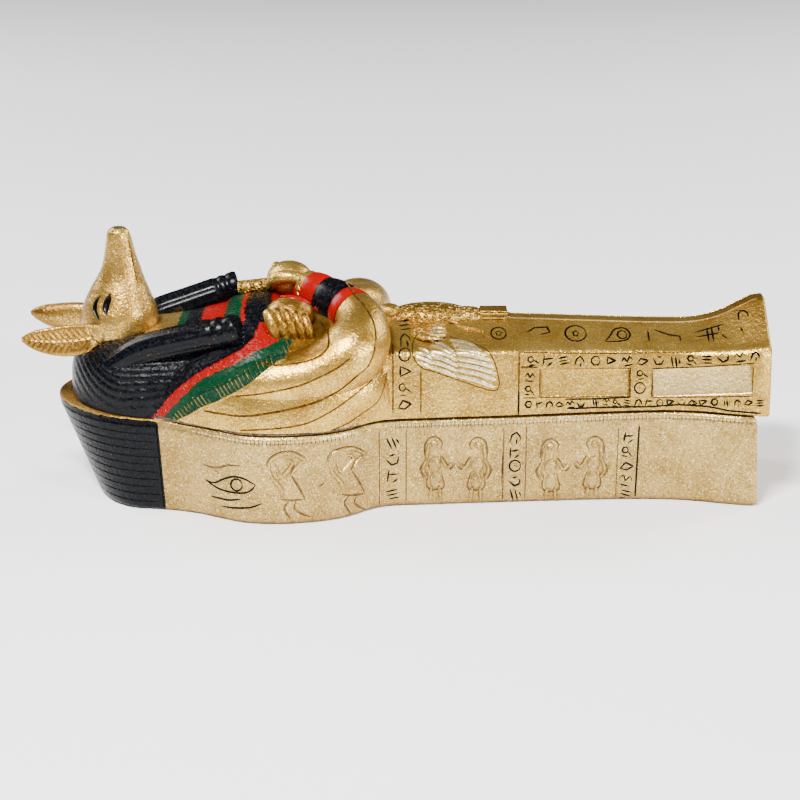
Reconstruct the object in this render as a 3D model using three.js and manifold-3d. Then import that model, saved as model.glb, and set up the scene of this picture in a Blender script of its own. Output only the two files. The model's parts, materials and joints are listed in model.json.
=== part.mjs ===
// Lidded box in the shape of a mummy lying on its back, cast in resin.
// Millimetres, +Z up. X runs from the head (-X) to the foot (+X), the origin is under the middle.
// Two castings: the hollow base, and the hollow lid with the jackal head, wig, arms and bird on it.
import * as THREE from 'three';
import { ParametricGeometry } from 'three/addons/geometries/ParametricGeometry.js';
import { mergeVertices } from 'three/addons/utils/BufferGeometryUtils.js';
import Module from 'manifold-3d';

const wasm = await Module();
wasm.setup();

// ---- driving dimensions ----
const BASE_HEAD_X = -83;        // head end of the base at its rim
const BASE_FLOOR_HEAD_X = -73.6; // the same end at the floor, drawn in like a bow
const BASE_FOOT_X = 88;         // foot end at the rim
const BASE_FLOOR_FOOT_X = 89.3; // and at the floor
const LID_HEAD_X = -79.3;       // the lid leaves a ledge of rim at the head
const LID_FOOT_X = 91;          // and hangs over the base at the foot
const HEAD_PLAN_X = -59;        // where the half-round head end starts
const HEAD_HALF = 19.4;
const RIM_Z = 22.4;             // height of the joint between base and lid
const RIM_HEAD_STEP = 1.0;      // the joint steps up at the wig
const RIM_HEAD_RISE = 1.4;      // and climbs on towards the head end
const RIM_FOOT_RISE = 0.8;
const WALL = 3.2;
const HEAD_WALL = 7.6;          // thicker end wall that carries the ledge
const FLOOR = 4;
const EDGE_ROUND = 1;
const JOINT_GAP = 0.35;
const LIP_DEPTH = 2;
const LIP_PLAY = 0.4;
const LIP_WALL = 1.6;
const MUZZLE_TOP = 65.8;
const LAPPET_R = 3.75;
const LAPPET_END_X = -37.3;
const LAPPET_SKEW = 1.4;        // the two lappets and the two ears end at slightly different places
const EAR_TIP_X = -90;
const EAR_SKEW = 1;

// ---- helpers: numbers ----
// A smooth function through a few [x, value] pairs (cubic Hermite, level beyond the ends).
function through(pairs) {
  const slope = pairs.map((p, i) => {
    const a = pairs[Math.max(i - 1, 0)];
    const b = pairs[Math.min(i + 1, pairs.length - 1)];
    return (b[1] - a[1]) / (b[0] - a[0]);
  });
  return (x) => {
    if (x <= pairs[0][0]) return pairs[0][1];
    if (x >= pairs[pairs.length - 1][0]) return pairs[pairs.length - 1][1];
    const i = pairs.findIndex((p) => p[0] > x) - 1;
    const span = pairs[i + 1][0] - pairs[i][0];
    const t = (x - pairs[i][0]) / span;
    const t2 = t * t;
    const t3 = t2 * t;
    return (2 * t3 - 3 * t2 + 1) * pairs[i][1] + (t3 - 2 * t2 + t) * span * slope[i]
      + (3 * t2 - 2 * t3) * pairs[i + 1][1] + (t3 - t2) * span * slope[i + 1];
  };
}

function range(count, start, end) {
  return Array.from({ length: count }, (_, i) => start + (end - start) * i / (count - 1));
}

function signedPower(value, power) {
  return Math.sign(value) * Math.abs(value) ** power;
}

// ---- helpers: solids ----
// Rings of points, all of one length, become a closed surface; the first and last ring close on themselves.
function loftGeometry(rings) {
  const around = rings[0].length;
  const last = rings.length - 1;
  const place = (u, v, target) => {
    target.copy(rings[Math.round(v * last)][Math.round(u * around) % around]);
  };
  return new ParametricGeometry(place, around, last);
}

// The middle of a ring, repeated, closes an end of a loft.
function pinched(ring) {
  const middle = ring.reduce((sum, p) => sum.add(p), new THREE.Vector3()).divideScalar(ring.length);
  return ring.map(() => middle);
}

function signedVolume(points, triangles) {
  const [a, b, c] = [new THREE.Vector3(), new THREE.Vector3(), new THREE.Vector3()];
  let total = 0;
  for (let i = 0; i < triangles.length; i += 3) {
    a.fromArray(points, triangles[i] * 3);
    b.fromArray(points, triangles[i + 1] * 3);
    c.fromArray(points, triangles[i + 2] * 3);
    total += a.dot(b.cross(c)) / 6;
  }
  return total;
}

function solid(geometry) {
  const bare = geometry.clone();
  bare.deleteAttribute('normal');
  bare.deleteAttribute('uv');
  const merged = mergeVertices(bare, 1e-4);
  const points = merged.attributes.position.array;
  const index = merged.index.array;
  const triangles = [];
  for (let i = 0; i < index.length; i += 3) {
    const [a, b, c] = [index[i], index[i + 1], index[i + 2]];
    if (a !== b && b !== c && c !== a) triangles.push(a, b, c);
  }
  if (signedVolume(points, triangles) < 0) triangles.reverse();
  return new wasm.Manifold(new wasm.Mesh({
    numProp: 3,
    vertProperties: new Float32Array(points),
    triVerts: new Uint32Array(triangles),
  }));
}

function loft(rings) {
  return solid(loftGeometry([pinched(rings[0]), ...rings, pinched(rings[rings.length - 1])]));
}

function geometryOf(manifold) {
  const mesh = manifold.getMesh();
  const geometry = new THREE.BufferGeometry();
  geometry.setAttribute('position', new THREE.BufferAttribute(new Float32Array(mesh.vertProperties), 3));
  geometry.setIndex(new THREE.BufferAttribute(new Uint32Array(mesh.triVerts), 1));
  geometry.computeVertexNormals();
  return geometry;
}

function placed(geometry, x, y, z, turnX = 0, turnY = 0, turnZ = 0) {
  const matrix = new THREE.Matrix4().makeRotationFromEuler(new THREE.Euler(turnX, turnY, turnZ, 'ZYX'));
  matrix.setPosition(x, y, z);
  return solid(geometry.clone().applyMatrix4(matrix));
}

function ellipsoid(x, y, z, rx, ry, rz, turnZ = 0, turnY = 0) {
  const geometry = new THREE.SphereGeometry(1, 16, 10).scale(rx, ry, rz);
  return placed(geometry, x, y, z, 0, turnY, turnZ);
}

// A tube of changing radius along a smooth path; radii are spread evenly along it.
function limb(points, radii, rows, sides) {
  const curve = new THREE.CatmullRomCurve3(points.map((p) => new THREE.Vector3(...p)));
  const radius = through(radii.map((r, i) => [i / (radii.length - 1), r]));
  const rings = range(rows, 0, 1).map((t) => {
    const centre = curve.getPoint(t);
    const along = curve.getTangent(t);
    const side = new THREE.Vector3(0, 0, 1).cross(along).normalize();
    const up = along.clone().cross(side);
    return Array.from({ length: sides }, (_, i) => {
      const a = i * 2 * Math.PI / sides;
      const offset = side.clone().multiplyScalar(Math.cos(a)).addScaledVector(up, Math.sin(a));
      return centre.clone().addScaledVector(offset, radius(t));
    });
  });
  return loft(rings);
}

// ---- the outline both halves share ----
const bodyHalf = through([[HEAD_PLAN_X, HEAD_HALF], [-52, 20.6], [-46.5, 22.4], [-41, 25.2], [-35, 27.9],
  [-28, 28.7], [-21.5, 28.1], [-14.8, 26.3], [-10, 23.8], [-5.3, 19.9], [-1, 17.9], [8, 16.9],
  [27, 15.4], [48, 13.9], [64, 13.5], [73, 14.3], [80, 16], [BASE_FOOT_X - 2, 17.4], [BASE_FOOT_X, 17.5]]);

const rimSteps = through([[-60, RIM_HEAD_STEP], [-57, RIM_HEAD_STEP], [-47, 0], [30, 0],
  [72, RIM_FOOT_RISE], [90, RIM_FOOT_RISE]]);

function rimHeight(x) {
  const climb = THREE.MathUtils.clamp((HEAD_PLAN_X - x) / (HEAD_PLAN_X - BASE_HEAD_X), 0, 1);
  return RIM_Z + rimSteps(x) + RIM_HEAD_RISE * climb;
}

// A closed plan outline: half-round head end reaching to headX, body sides drawn in by inset, square foot.
// Each entry holds the outline point and the spine point that closes a cap.
function outline(headX, inset, footX) {
  const reach = HEAD_PLAN_X - headX;
  const side = [];
  for (const a of range(9, 0, Math.PI / 2).slice(0, -1)) {
    const x = HEAD_PLAN_X - reach * Math.cos(a);
    side.push([x, (HEAD_HALF - inset) * Math.sin(a), Math.max(x, headX + reach * 0.6)]);
  }
  for (const x of range(25, HEAD_PLAN_X, footX)) {
    side.push([x, bodyHalf(x) - inset, Math.min(x, footX - 8)]);
  }
  side.push([footX, 6, footX - 8]);
  const mirrored = side.slice(1).reverse().map(([x, y, spine]) => [x, -y, spine]);
  return [...side, ...mirrored];
}

function level(points, height) {
  return points.map(([x, y]) => new THREE.Vector3(x, y, height(x)));
}

function spine(points, height) {
  return points.map(([, , s]) => new THREE.Vector3(s, 0, height(s)));
}

// ---- base ----
function baseSolid() {
  const headAt = (z) => THREE.MathUtils.lerp(BASE_FLOOR_HEAD_X, BASE_HEAD_X, z / RIM_Z);
  const flat = (z) => () => z;
  const footAt = (z) => THREE.MathUtils.lerp(BASE_FLOOR_FOOT_X, BASE_FOOT_X, z / RIM_Z);
  const outer = (z, inset) => outline(headAt(z) + inset, inset, footAt(z) - inset);
  const inner = (z, inset) => outline(headAt(z) + HEAD_WALL + inset, WALL + inset, BASE_FOOT_X - WALL - inset);
  const rings = [
    spine(outer(0, EDGE_ROUND), flat(0)),
    level(outer(0, EDGE_ROUND), flat(0)),
    level(outer(0.3, 0.3), flat(0.3)),
    level(outer(EDGE_ROUND, 0), flat(EDGE_ROUND)),
    level(outer(RIM_Z / 2, -0.1), flat(RIM_Z / 2)),
    level(outer(RIM_Z, 0), (x) => rimHeight(x) - 0.5),
    level(outer(RIM_Z, 0.4), rimHeight),
    level(inner(RIM_Z, 0), rimHeight),
    level(inner(FLOOR + 2, 0), flat(FLOOR + 2)),
    level(inner(FLOOR, 1.6), flat(FLOOR)),
    spine(inner(FLOOR, 1.6), flat(FLOOR)),
  ];
  return solid(loftGeometry(rings));
}

// ---- lid: body ----
// Crown height along the middle, from the wig over the chest to the elbows.
const crown = through([[LID_HEAD_X, 31], [-78, 35], [-75, 38.3], [-70, 40.6], [-62, 41.6], [-54, 42.4],
  [-43, 45.2], [-32, 47.4], [-25, 45.8], [-12, 45.5], [-6, 44.5], [-2, 43.5], [0.8, 41]]);
// Widest half-width of the wig and robe, above the joint.
const robeHalf = through([[HEAD_PLAN_X, 18.6], [-52, 20.4], [-46.5, 22.6], [-41, 25.4], [-35, 27.9],
  [-28, 28.6], [-21.5, 28.2], [-14.8, 27], [-9, 25], [-5, 22.9], [-1.5, 19.5], [0.8, 16]]);
// The wig's section is boxy, the chest's nearly an ellipse.
const sectionPower = through([[-62, 3], [-56, 2.8], [-44, 2.2], [-30, 2.15], [0, 2.3]]);
const ROBE_END_X = 0.8;
const COLLAR_LIFT = 0.9;

// Where the collar's outer edge lies, from the joint (0) to the chest (1).
function collarEdge(height) {
  return THREE.MathUtils.lerp(-52, -27, height);
}

function robeRing(x, half, steps) {
  const low = rimHeight(x) + JOINT_GAP;
  const top = crown(x);
  const power = 2 / sectionPower(x);
  const seat = Math.min(half, bodyHalf(x));
  return range(steps, 0, Math.PI).map((a) => {
    const rise = Math.sin(a) ** power;
    const blend = THREE.MathUtils.smoothstep(rise, 0, 0.4);
    const edge = collarEdge(rise);
    const collar = COLLAR_LIFT * (1 - THREE.MathUtils.smoothstep(x, edge - 1, edge + 1))
      * THREE.MathUtils.smoothstep(x, edge - 13, edge - 11) * Math.sin(a);
    const width = THREE.MathUtils.lerp(seat, half, blend) + collar;
    return new THREE.Vector3(x, -width * signedPower(Math.cos(a), power), low + (top + collar - low) * rise);
  });
}

function robeSolid() {
  const steps = 21;
  const reach = HEAD_PLAN_X - LID_HEAD_X;
  const headEnd = range(8, 0, Math.PI / 2).slice(0, -1).map((a) => {
    const half = robeHalf(HEAD_PLAN_X) * Math.sin(a);
    return robeRing(HEAD_PLAN_X - reach * Math.cos(a), half, steps);
  });
  const body = range(27, HEAD_PLAN_X, ROBE_END_X).map((x) => robeRing(x, robeHalf(x), steps));
  return solid(loftGeometry([...headEnd, ...body, pinched(body[body.length - 1])]));
}

const ridgeHeight = through([[0, 38.9], [27, 38.5], [50, 38.3], [72, 38], [82, 38.9], [LID_FOOT_X, 40.4]]);
const stripHeight = through([[-4, 44.2], [22, 44], [46, 43.2], [64, 42.7], [74, 42.9], [80.5, 44.6],
  [85.5, 47.2], [89, 48.9], [LID_FOOT_X, 49.1]]);
const STRIP_HALF = 2.1;
const PANEL_LEAN = 2.4;

// One section of the legs: an upright panel band, a ridge, a sloping band and a narrow flat strip on top.
function legRing(x, inset) {
  const half = bodyHalf(Math.min(x, BASE_FOOT_X)) + 0.25 - inset;
  const low = rimHeight(x) + JOINT_GAP;
  const ridge = ridgeHeight(x) - inset;
  const strip = stripHeight(x) - inset;
  const side = [
    [half, low + inset],
    [half - PANEL_LEAN * 0.35, THREE.MathUtils.lerp(low, ridge, 0.45)],
    [half - PANEL_LEAN, ridge],
    [half - PANEL_LEAN - 1.4, ridge + 0.5],
    [(half - PANEL_LEAN + STRIP_HALF) / 2, THREE.MathUtils.lerp(ridge, strip, 0.45)],
    [STRIP_HALF, strip],
  ];
  const far = side.map(([y, z]) => new THREE.Vector3(x, y, z));
  const near = side.map(([y, z]) => new THREE.Vector3(x, -y, z)).reverse();
  return [...far, ...near];
}

function legsSolid() {
  const rings = range(27, -8, LID_FOOT_X - 0.9).map((x) => legRing(x, 0));
  rings.push(legRing(LID_FOOT_X - 0.3, 0.5));
  rings.push(legRing(LID_FOOT_X, 1.3));
  return loft(rings);
}

// ---- lid: what is cast on it ----
// Sections of the jackal's head from the neck up to the nose: height, middle, half-depth, half-width.
const HEAD_SECTIONS = [
  [34, -67, 9.2, 8.4], [39, -67, 9.7, 9], [42.9, -67.05, 9.6, 8.9], [45.5, -66.9, 9.1, 8.5],
  [47.7, -66.75, 8.45, 7.8], [50.5, -66.45, 7.3, 6.5], [53.3, -66.05, 5.8, 5.1], [55.8, -65.85, 4.6, 4.1],
  [59.4, -66, 3.7, 3.3], [63, -66.1, 3, 2.8], [65, -66.15, 2.5, 2.4], [MUZZLE_TOP, -66.1, 1.6, 1.5]];

function headSolid() {
  return loft(HEAD_SECTIONS.map(([z, x, depth, width]) => range(21, 0, 2 * Math.PI).slice(0, -1)
    .map((a) => new THREE.Vector3(x + depth * Math.cos(a), width * Math.sin(a), z))));
}

// An ear is a pointed leaf: its width swells and tapers along a line from the skull to the tip.
function earSolid(side) {
  const width = through([[0, 2.4], [0.2, 3.5], [0.5, 3.9], [0.8, 2.8], [0.94, 1.5], [1, 0.5]]);
  const tip = EAR_TIP_X - side * EAR_SKEW;
  const rings = range(11, 0, 1).map((t) => {
    const x = THREE.MathUtils.lerp(-69, tip, t);
    const y = THREE.MathUtils.lerp(7.4, 11, t ** 0.6);
    const z = THREE.MathUtils.lerp(41, 40.9, t) - 0.9 * Math.sin(Math.PI * t);
    const thick = Math.min(1.9, width(t) * 0.75);
    return range(13, 0, 2 * Math.PI).slice(0, -1).map((a) => new THREE.Vector3(x,
      side * (y + thick * Math.cos(a) * (Math.cos(a) > 0 ? 0.55 : 1)), z + width(t) * Math.sin(a)));
  });
  return loft(rings);
}

function lappetSolid(side) {
  const start = [-63, side * 13, 39];
  const end = [LAPPET_END_X - side * LAPPET_SKEW, side * 17, 45.5];
  return limb([start, [-50, side * 15, 42.4], end], [3.4, LAPPET_R, LAPPET_R], 7, 16);
}

// Each arm runs from the shoulder round the elbow and back over the chest to the wrist.
function armSolid(side, wrist, lift) {
  return limb([[-46, side * 17, 31], [-32, side * 20.7, 33], [-19, side * 20.4, 35],
    [-9.3, side * 17.6, 39.8], [-7.2, side * 10.5, 43.4 + lift], [-11.5, side * 3.5, 45.8 + lift], wrist],
  [4, 6.3, 6.8, 7.9, 6.4, 5.2, 4.5], 20, 12);
}

// A closed fist: the back of the hand with four fingers curled over its side.
// side is the side the fingers curl to, tilt how far the fingers lean over.
function fistSolid(x, y, z, side, turn, tilt) {
  let fist = ellipsoid(x, y, z, 5.8, 5.2, 4.4, turn);
  fist = fist.add(ellipsoid(x, y + side * 3.6, z - 2.6, 5, 4.2, 3.4, turn));
  for (let i = 0; i < 4; i += 1) {
    const along = (i - 1.5) * 2.55;
    const finger = new THREE.CapsuleGeometry(1.45, 7, 2, 8);
    fist = fist.add(placed(finger, x + along * Math.cos(turn), y + side * 3.6 + along * Math.sin(turn),
      z - 0.6 - Math.abs(along) * 0.2, -side * tilt));
  }
  return fist;
}

// The handle that the upper fist holds, lying over the collar towards the lappet.
function handleSolid() {
  return limb([[-22, 8.2, 50], [-30, 8.8, 49.6], [-37.6, 9.6, 48.2]], [1.9, 1.8, 1.5], 5, 10);
}

// The bird stands over the legs: rounded body, small head on the chest side, square tail.
function birdSolid() {
  const body = ellipsoid(9.5, 0, 43.6, 10.5, 5, 3.2);
  const head = ellipsoid(-0.6, 0, 44.6, 3, 2.3, 2);
  const tail = placed(new THREE.BoxGeometry(8, 5.6, 3.6), 24.6, 0, 43.9);
  const rump = ellipsoid(18.5, 0, 43.6, 4, 3.4, 2.4);
  return body.add(head).add(tail).add(rump);
}

// ---- lid: hollow and lip ----
function cavityRing(x, half, roof, steps) {
  const low = RIM_Z - 6;
  const power = 2 / 3.2;
  return range(steps, 0, Math.PI).map((a) => new THREE.Vector3(x,
    -half * signedPower(Math.cos(a), power), low + (roof - low) * Math.sin(a) ** power));
}

const CAVITY_INSET = WALL + LIP_PLAY + LIP_WALL;
const roofHeight = through([[-72, 33], [-66, 35.5], [-54, 36.5], [-40, 40], [-24, 43], [-12, 43],
  [-4, 39], [2, 36.4], [40, 36], [80, 36], [84, 36.5]]);

function cavitySolid() {
  const headX = BASE_HEAD_X + HEAD_WALL + LIP_PLAY + LIP_WALL;
  const footX = BASE_FOOT_X - CAVITY_INSET;
  const reach = HEAD_PLAN_X - headX;
  const headEnd = [0.35, 0.7, 1.1].map((a) => cavityRing(HEAD_PLAN_X - reach * Math.cos(a),
    (HEAD_HALF - CAVITY_INSET) * Math.sin(a), roofHeight(HEAD_PLAN_X - reach * Math.cos(a)), 13));
  const body = range(20, HEAD_PLAN_X, footX)
    .map((x) => cavityRing(x, bodyHalf(x) - CAVITY_INSET, roofHeight(x), 13));
  return loft([...headEnd, ...body]);
}

// The low rim under the lid that drops inside the base and keeps the lid from sliding.
function lipSolid() {
  const inset = WALL + LIP_PLAY;
  const points = outline(BASE_HEAD_X + HEAD_WALL + LIP_PLAY + 0.8, inset, BASE_FOOT_X - inset);
  const under = (x) => rimHeight(x) - LIP_DEPTH;
  const above = (x) => rimHeight(x) + 2;
  return solid(loftGeometry([spine(points, under), level(points, under), level(points, above),
    spine(points, above)]));
}

function lidSolid() {
  let lid = robeSolid().add(legsSolid()).add(lipSolid());
  lid = lid.add(headSolid()).add(birdSolid());
  for (const side of [-1, 1]) {
    lid = lid.add(earSolid(side)).add(lappetSolid(side));
  }
  lid = lid.add(armSolid(1, [-18, -4, 44.5], -1)).add(fistSolid(-24.4, -9, 46.6, -1, 0.12, 0.85));
  lid = lid.add(armSolid(-1, [-22, 5.5, 49.4], 1)).add(fistSolid(-25.4, 7.8, 50.8, 1, -0.3, 1.1));
  return lid.add(handleSolid()).subtract(cavitySolid());
}

// ---- the scene graph ----
function piece(name, manifold, colour, roughness, metalness) {
  const material = new THREE.MeshStandardMaterial({ color: colour, roughness, metalness });
  const mesh = new THREE.Mesh(geometryOf(manifold), material);
  mesh.name = name;
  return mesh;
}

const group = new THREE.Group();
group.add(piece('coffin_base', baseSolid(), 0xcdb17a, 0.45, 0.5));
group.add(piece('coffin_lid', lidSolid(), 0xd2b06c, 0.38, 0.6));

export default group;
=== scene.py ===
# %% [markdown]
# # A small lidded box in the shape of a mummy with a jackal's head
# The real object is a souvenir cast in resin as two pieces: a hollow base and a lid that lifts off.
# Both are sprayed gold, then painted by hand: black wig, red and green collar, black ink in the carving.
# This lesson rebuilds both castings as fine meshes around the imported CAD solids, whose boxes give the
# outer sizes. X runs from the head end to the foot end, the near long side faces -Y, and Z is up from the
# floor. Lengths are written in millimetres and scaled to metres when a mesh is made.

# %% Load the frame
import bmesh
import bpy
import json
import math
import numpy as np
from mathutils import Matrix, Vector
from mathutils.bvhtree import BVHTree

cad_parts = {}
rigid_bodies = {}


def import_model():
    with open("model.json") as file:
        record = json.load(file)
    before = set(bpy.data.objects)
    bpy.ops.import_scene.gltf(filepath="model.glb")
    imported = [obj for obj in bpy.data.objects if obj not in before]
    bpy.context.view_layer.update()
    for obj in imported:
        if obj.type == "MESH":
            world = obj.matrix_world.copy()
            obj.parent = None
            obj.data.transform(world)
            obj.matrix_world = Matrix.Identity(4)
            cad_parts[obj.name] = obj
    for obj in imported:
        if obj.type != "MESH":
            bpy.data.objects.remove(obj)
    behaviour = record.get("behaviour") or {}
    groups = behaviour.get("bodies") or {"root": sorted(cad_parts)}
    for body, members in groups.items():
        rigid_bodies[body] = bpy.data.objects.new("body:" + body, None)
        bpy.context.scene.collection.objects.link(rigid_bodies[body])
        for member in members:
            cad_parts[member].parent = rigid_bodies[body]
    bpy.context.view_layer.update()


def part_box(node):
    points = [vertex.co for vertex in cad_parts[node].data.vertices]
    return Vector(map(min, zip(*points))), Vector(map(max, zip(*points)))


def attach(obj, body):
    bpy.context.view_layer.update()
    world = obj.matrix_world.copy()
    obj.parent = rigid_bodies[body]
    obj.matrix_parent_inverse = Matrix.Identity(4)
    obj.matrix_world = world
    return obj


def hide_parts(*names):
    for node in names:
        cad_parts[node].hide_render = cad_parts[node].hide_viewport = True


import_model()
MM = 0.001


def node_box(node):
    """A node's lowest and highest corner in millimetres."""
    low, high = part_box(node)
    return np.array(low) / MM, np.array(high) / MM


BASE_LOW, BASE_HIGH = node_box("coffin_base")
LID_LOW, LID_HIGH = node_box("coffin_lid")
print("base", BASE_LOW.round(1), BASE_HIGH.round(1), "lid", LID_LOW.round(1), LID_HIGH.round(1))

# %% [markdown]
# ## Driving sizes
# The rim of the base is the joint between the castings. It steps up at the wig and climbs towards the
# head end. The lid is shorter than the base at the head, which leaves a ledge, and longer at the foot.

# %% Driving sizes
HEAD_X = BASE_LOW[0]
FLOOR_HEAD_X = HEAD_X + 9.4
FOOT_X = BASE_HIGH[0] - 1.3
FLOOR_FOOT_X = BASE_HIGH[0]
LID_HEAD_X = HEAD_X + 3.7
LID_FOOT_X = LID_HIGH[0]
PLAN_X = HEAD_X + 24
HEAD_HALF = 19.4
RIM_Z = 22.4
HEAD_CLIMB = 1.4
JOINT_GAP = 0.35
WALL, HEAD_WALL, FLOOR = 3.2, 7.6, 4.0
NEAR, FAR = -1, 1


def through(*pairs):
    """A smooth curve through a few (x, value) pairs, level outside them.

    Cubic Hermite with t = 0..1 between two pairs d apart, and slopes m0, m1 from the neighbours:
    (2t^3 - 3t^2 + 1) y0 + (t^3 - 2t^2 + t) d m0 + (3t^2 - 2t^3) y1 + (t^3 - t^2) d m1.
    """
    xs, ys = np.array(pairs, float).T
    before = np.r_[0, np.arange(len(xs) - 1)]
    after = np.r_[np.arange(1, len(xs)), len(xs) - 1]
    slopes = (ys[after] - ys[before]) / (xs[after] - xs[before])

    def curve(x):
        x = np.clip(x, xs[0], xs[-1])
        i = np.clip(np.searchsorted(xs, x, side="right") - 1, 0, len(xs) - 2)
        span = xs[i + 1] - xs[i]
        t = (x - xs[i]) / span
        start = (2 * t ** 3 - 3 * t ** 2 + 1) * ys[i] + (t ** 3 - 2 * t ** 2 + t) * span * slopes[i]
        return start + (3 * t ** 2 - 2 * t ** 3) * ys[i + 1] + (t ** 3 - t ** 2) * span * slopes[i + 1]

    return curve


def smooth(x, low, high):
    """Smoothstep: 0 below low, 1 above high, 3t^2 - 2t^3 between."""
    t = np.clip((x - low) / (high - low), 0, 1)
    return t * t * (3 - 2 * t)


def bell(x, centre, width):
    """A bump of height 1: exp(-((x - centre) / width)^2)."""
    return np.exp(-((x - centre) / width) ** 2)


def power(value, exponent):
    """The sign of a value times its size raised to a power, for superellipses."""
    return np.sign(value) * np.abs(value) ** exponent


body_half = through((PLAN_X, HEAD_HALF), (-52, 20.6), (-46.5, 22.4), (-41, 25.2), (-35, 27.9), (-28, 28.7),
                    (-21.5, 28.1), (-14.8, 26.3), (-10, 23.8), (-5.3, 19.9), (-1, 17.9), (8, 16.9),
                    (27, 15.4), (48, 13.9), (64, 13.5), (73, 14.3), (80, 16), (FOOT_X - 2, 17.4),
                    (FOOT_X, 17.5))
rim_steps = through((-60, 1), (-57, 1), (-47, 0), (30, 0), (72, 0.8), (90, 0.8))


def rim(x):
    """Height of the joint: a level rim, a step at the wig, a straight climb to the head end."""
    return RIM_Z + rim_steps(x) + HEAD_CLIMB * np.clip((PLAN_X - x) / (PLAN_X - HEAD_X), 0, 1)


print("rim from", rim(HEAD_X).round(2), "to", rim(FOOT_X).round(2))

# %% [markdown]
# ## Surfaces from numpy grids
# Every shape here is a grid of rings that wraps round on itself and closes at both ends, so each one is
# a watertight solid. Solids are then joined, and strokes are cut out of them, with Boolean modifiers in
# the Manifold mode. That mode is fast, keeps the result closed, and carries each solid's material over,
# so a groove that is cut with an inked cutter is inked inside, as the real grooves are.

# %% Grid helpers
def closed_grid(rings):
    """Vertices and faces of a grid of rings: rings[i, j] joins its neighbours, and j wraps round.

    Each end closes on its own mean point, so the surface has no open edge.
    """
    rows, columns = rings.shape[:2]
    i, j = np.meshgrid(np.arange(rows - 1), np.arange(columns), indexing="ij")
    after = (j + 1) % columns
    this_row, next_row = i * columns, (i + 1) * columns
    quads = np.stack([this_row + j, this_row + after, next_row + after, next_row + j], -1)
    ends = np.stack([rings[0].mean(0), rings[-1].mean(0)])
    verts = np.vstack([rings.reshape(-1, 3), ends])
    k = np.arange(columns)
    k_after = (k + 1) % columns
    first = np.stack([np.full(columns, rows * columns), k_after, k], -1)
    last = np.stack([np.full(columns, rows * columns + 1), (rows - 1) * columns + k,
                     (rows - 1) * columns + k_after], -1)
    return verts, quads.reshape(-1, 4), np.vstack([first, last])


def outward(verts, quads, tris):
    """Turns the faces over when the signed volume, the sum of a . (b x c) / 6, is negative."""
    parts = np.vstack([tris, quads[:, [0, 1, 2]], quads[:, [0, 2, 3]]])
    a, b, c = (verts[parts[:, k]] for k in range(3))
    if (a * np.cross(b, c)).sum() < 0:
        return quads[:, ::-1], tris[:, ::-1]
    return quads, tris


def new_mesh(name, verts, quads, tris, material):
    """Puts vertices (in millimetres) and faces into a new mesh object at the origin."""
    quads, tris = outward(verts, quads, tris)
    mesh = bpy.data.meshes.new(name)
    mesh.vertices.add(len(verts))
    mesh.vertices.foreach_set("co", (verts * MM).ravel())
    corners = np.concatenate([quads.ravel(), tris.ravel()])
    sizes = np.r_[np.full(len(quads), 4), np.full(len(tris), 3)]
    mesh.loops.add(len(corners))
    mesh.loops.foreach_set("vertex_index", corners.astype(np.int32))
    mesh.polygons.add(len(sizes))
    mesh.polygons.foreach_set("loop_start", np.r_[0, np.cumsum(sizes)[:-1]].astype(np.int32))
    mesh.polygons.foreach_set("loop_total", sizes.astype(np.int32))
    mesh.update(calc_edges=True)
    mesh.materials.append(material)
    piece = bpy.data.objects.new(name, mesh)
    bpy.context.scene.collection.objects.link(piece)
    return piece


def solid(name, rings, material):
    """A closed mesh object from a grid of rings."""
    return new_mesh(name, *closed_grid(np.asarray(rings, float)), material)


def grid_normals(rings):
    """Unit normals of a ring grid: the cross product of its two central differences."""
    along = np.gradient(rings, axis=0)
    around = np.roll(rings, -1, 1) - np.roll(rings, 1, 1)
    normals = np.cross(around, along)
    length = np.linalg.norm(normals, axis=2, keepdims=True)
    return normals / np.maximum(length, 1e-9)


def combine(piece, others, operation):
    """Joins other solids to a piece, or cuts them out of it. The result is applied and the others go."""
    group = bpy.data.collections.new("operands")
    for other in others:
        for owner in list(other.users_collection):
            owner.objects.unlink(other)
        group.objects.link(other)
    step = piece.modifiers.new("combine", "BOOLEAN")
    step.operation = operation
    step.solver = "MANIFOLD"
    step.operand_type = "COLLECTION"
    step.collection = group
    step.material_mode = "TRANSFER"
    graph = bpy.context.evaluated_depsgraph_get()
    mesh = bpy.data.meshes.new_from_object(piece.evaluated_get(graph))
    piece.modifiers.clear()
    old = piece.data
    piece.data = mesh
    bpy.data.meshes.remove(old)
    for other in list(group.objects):
        bpy.data.objects.remove(other)
    bpy.data.collections.remove(group)
    return piece


def clean(piece, least=200):
    """Removes crumbs: loose closed bits, of fewer points than a count, that joins and cuts leave behind.

    Each point takes the least label among its neighbours until nothing changes, which labels the bits.
    """
    mesh = piece.data
    ends = np.empty(len(mesh.edges) * 2, dtype=np.int32)
    mesh.edges.foreach_get("vertices", ends)
    first, second = ends.reshape(-1, 2).T
    label, settled = np.arange(len(mesh.vertices)), False
    while not settled:
        low = label.copy()
        np.minimum.at(low, first, label[second])
        np.minimum.at(low, second, label[first])
        low = low[low]
        settled = bool((low == label).all())
        label = low
    crumb = np.flatnonzero(np.bincount(label)[label] < least)
    form = bmesh.new()
    form.from_mesh(mesh)
    form.verts.ensure_lookup_table()
    bmesh.ops.delete(form, geom=[form.verts[k] for k in crumb], context="VERTS")
    open_edges = sum(not edge.is_manifold for edge in form.edges)
    form.to_mesh(mesh)
    form.free()
    print(piece.name, "crumb points", len(crumb), "open edges", open_edges)


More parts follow.
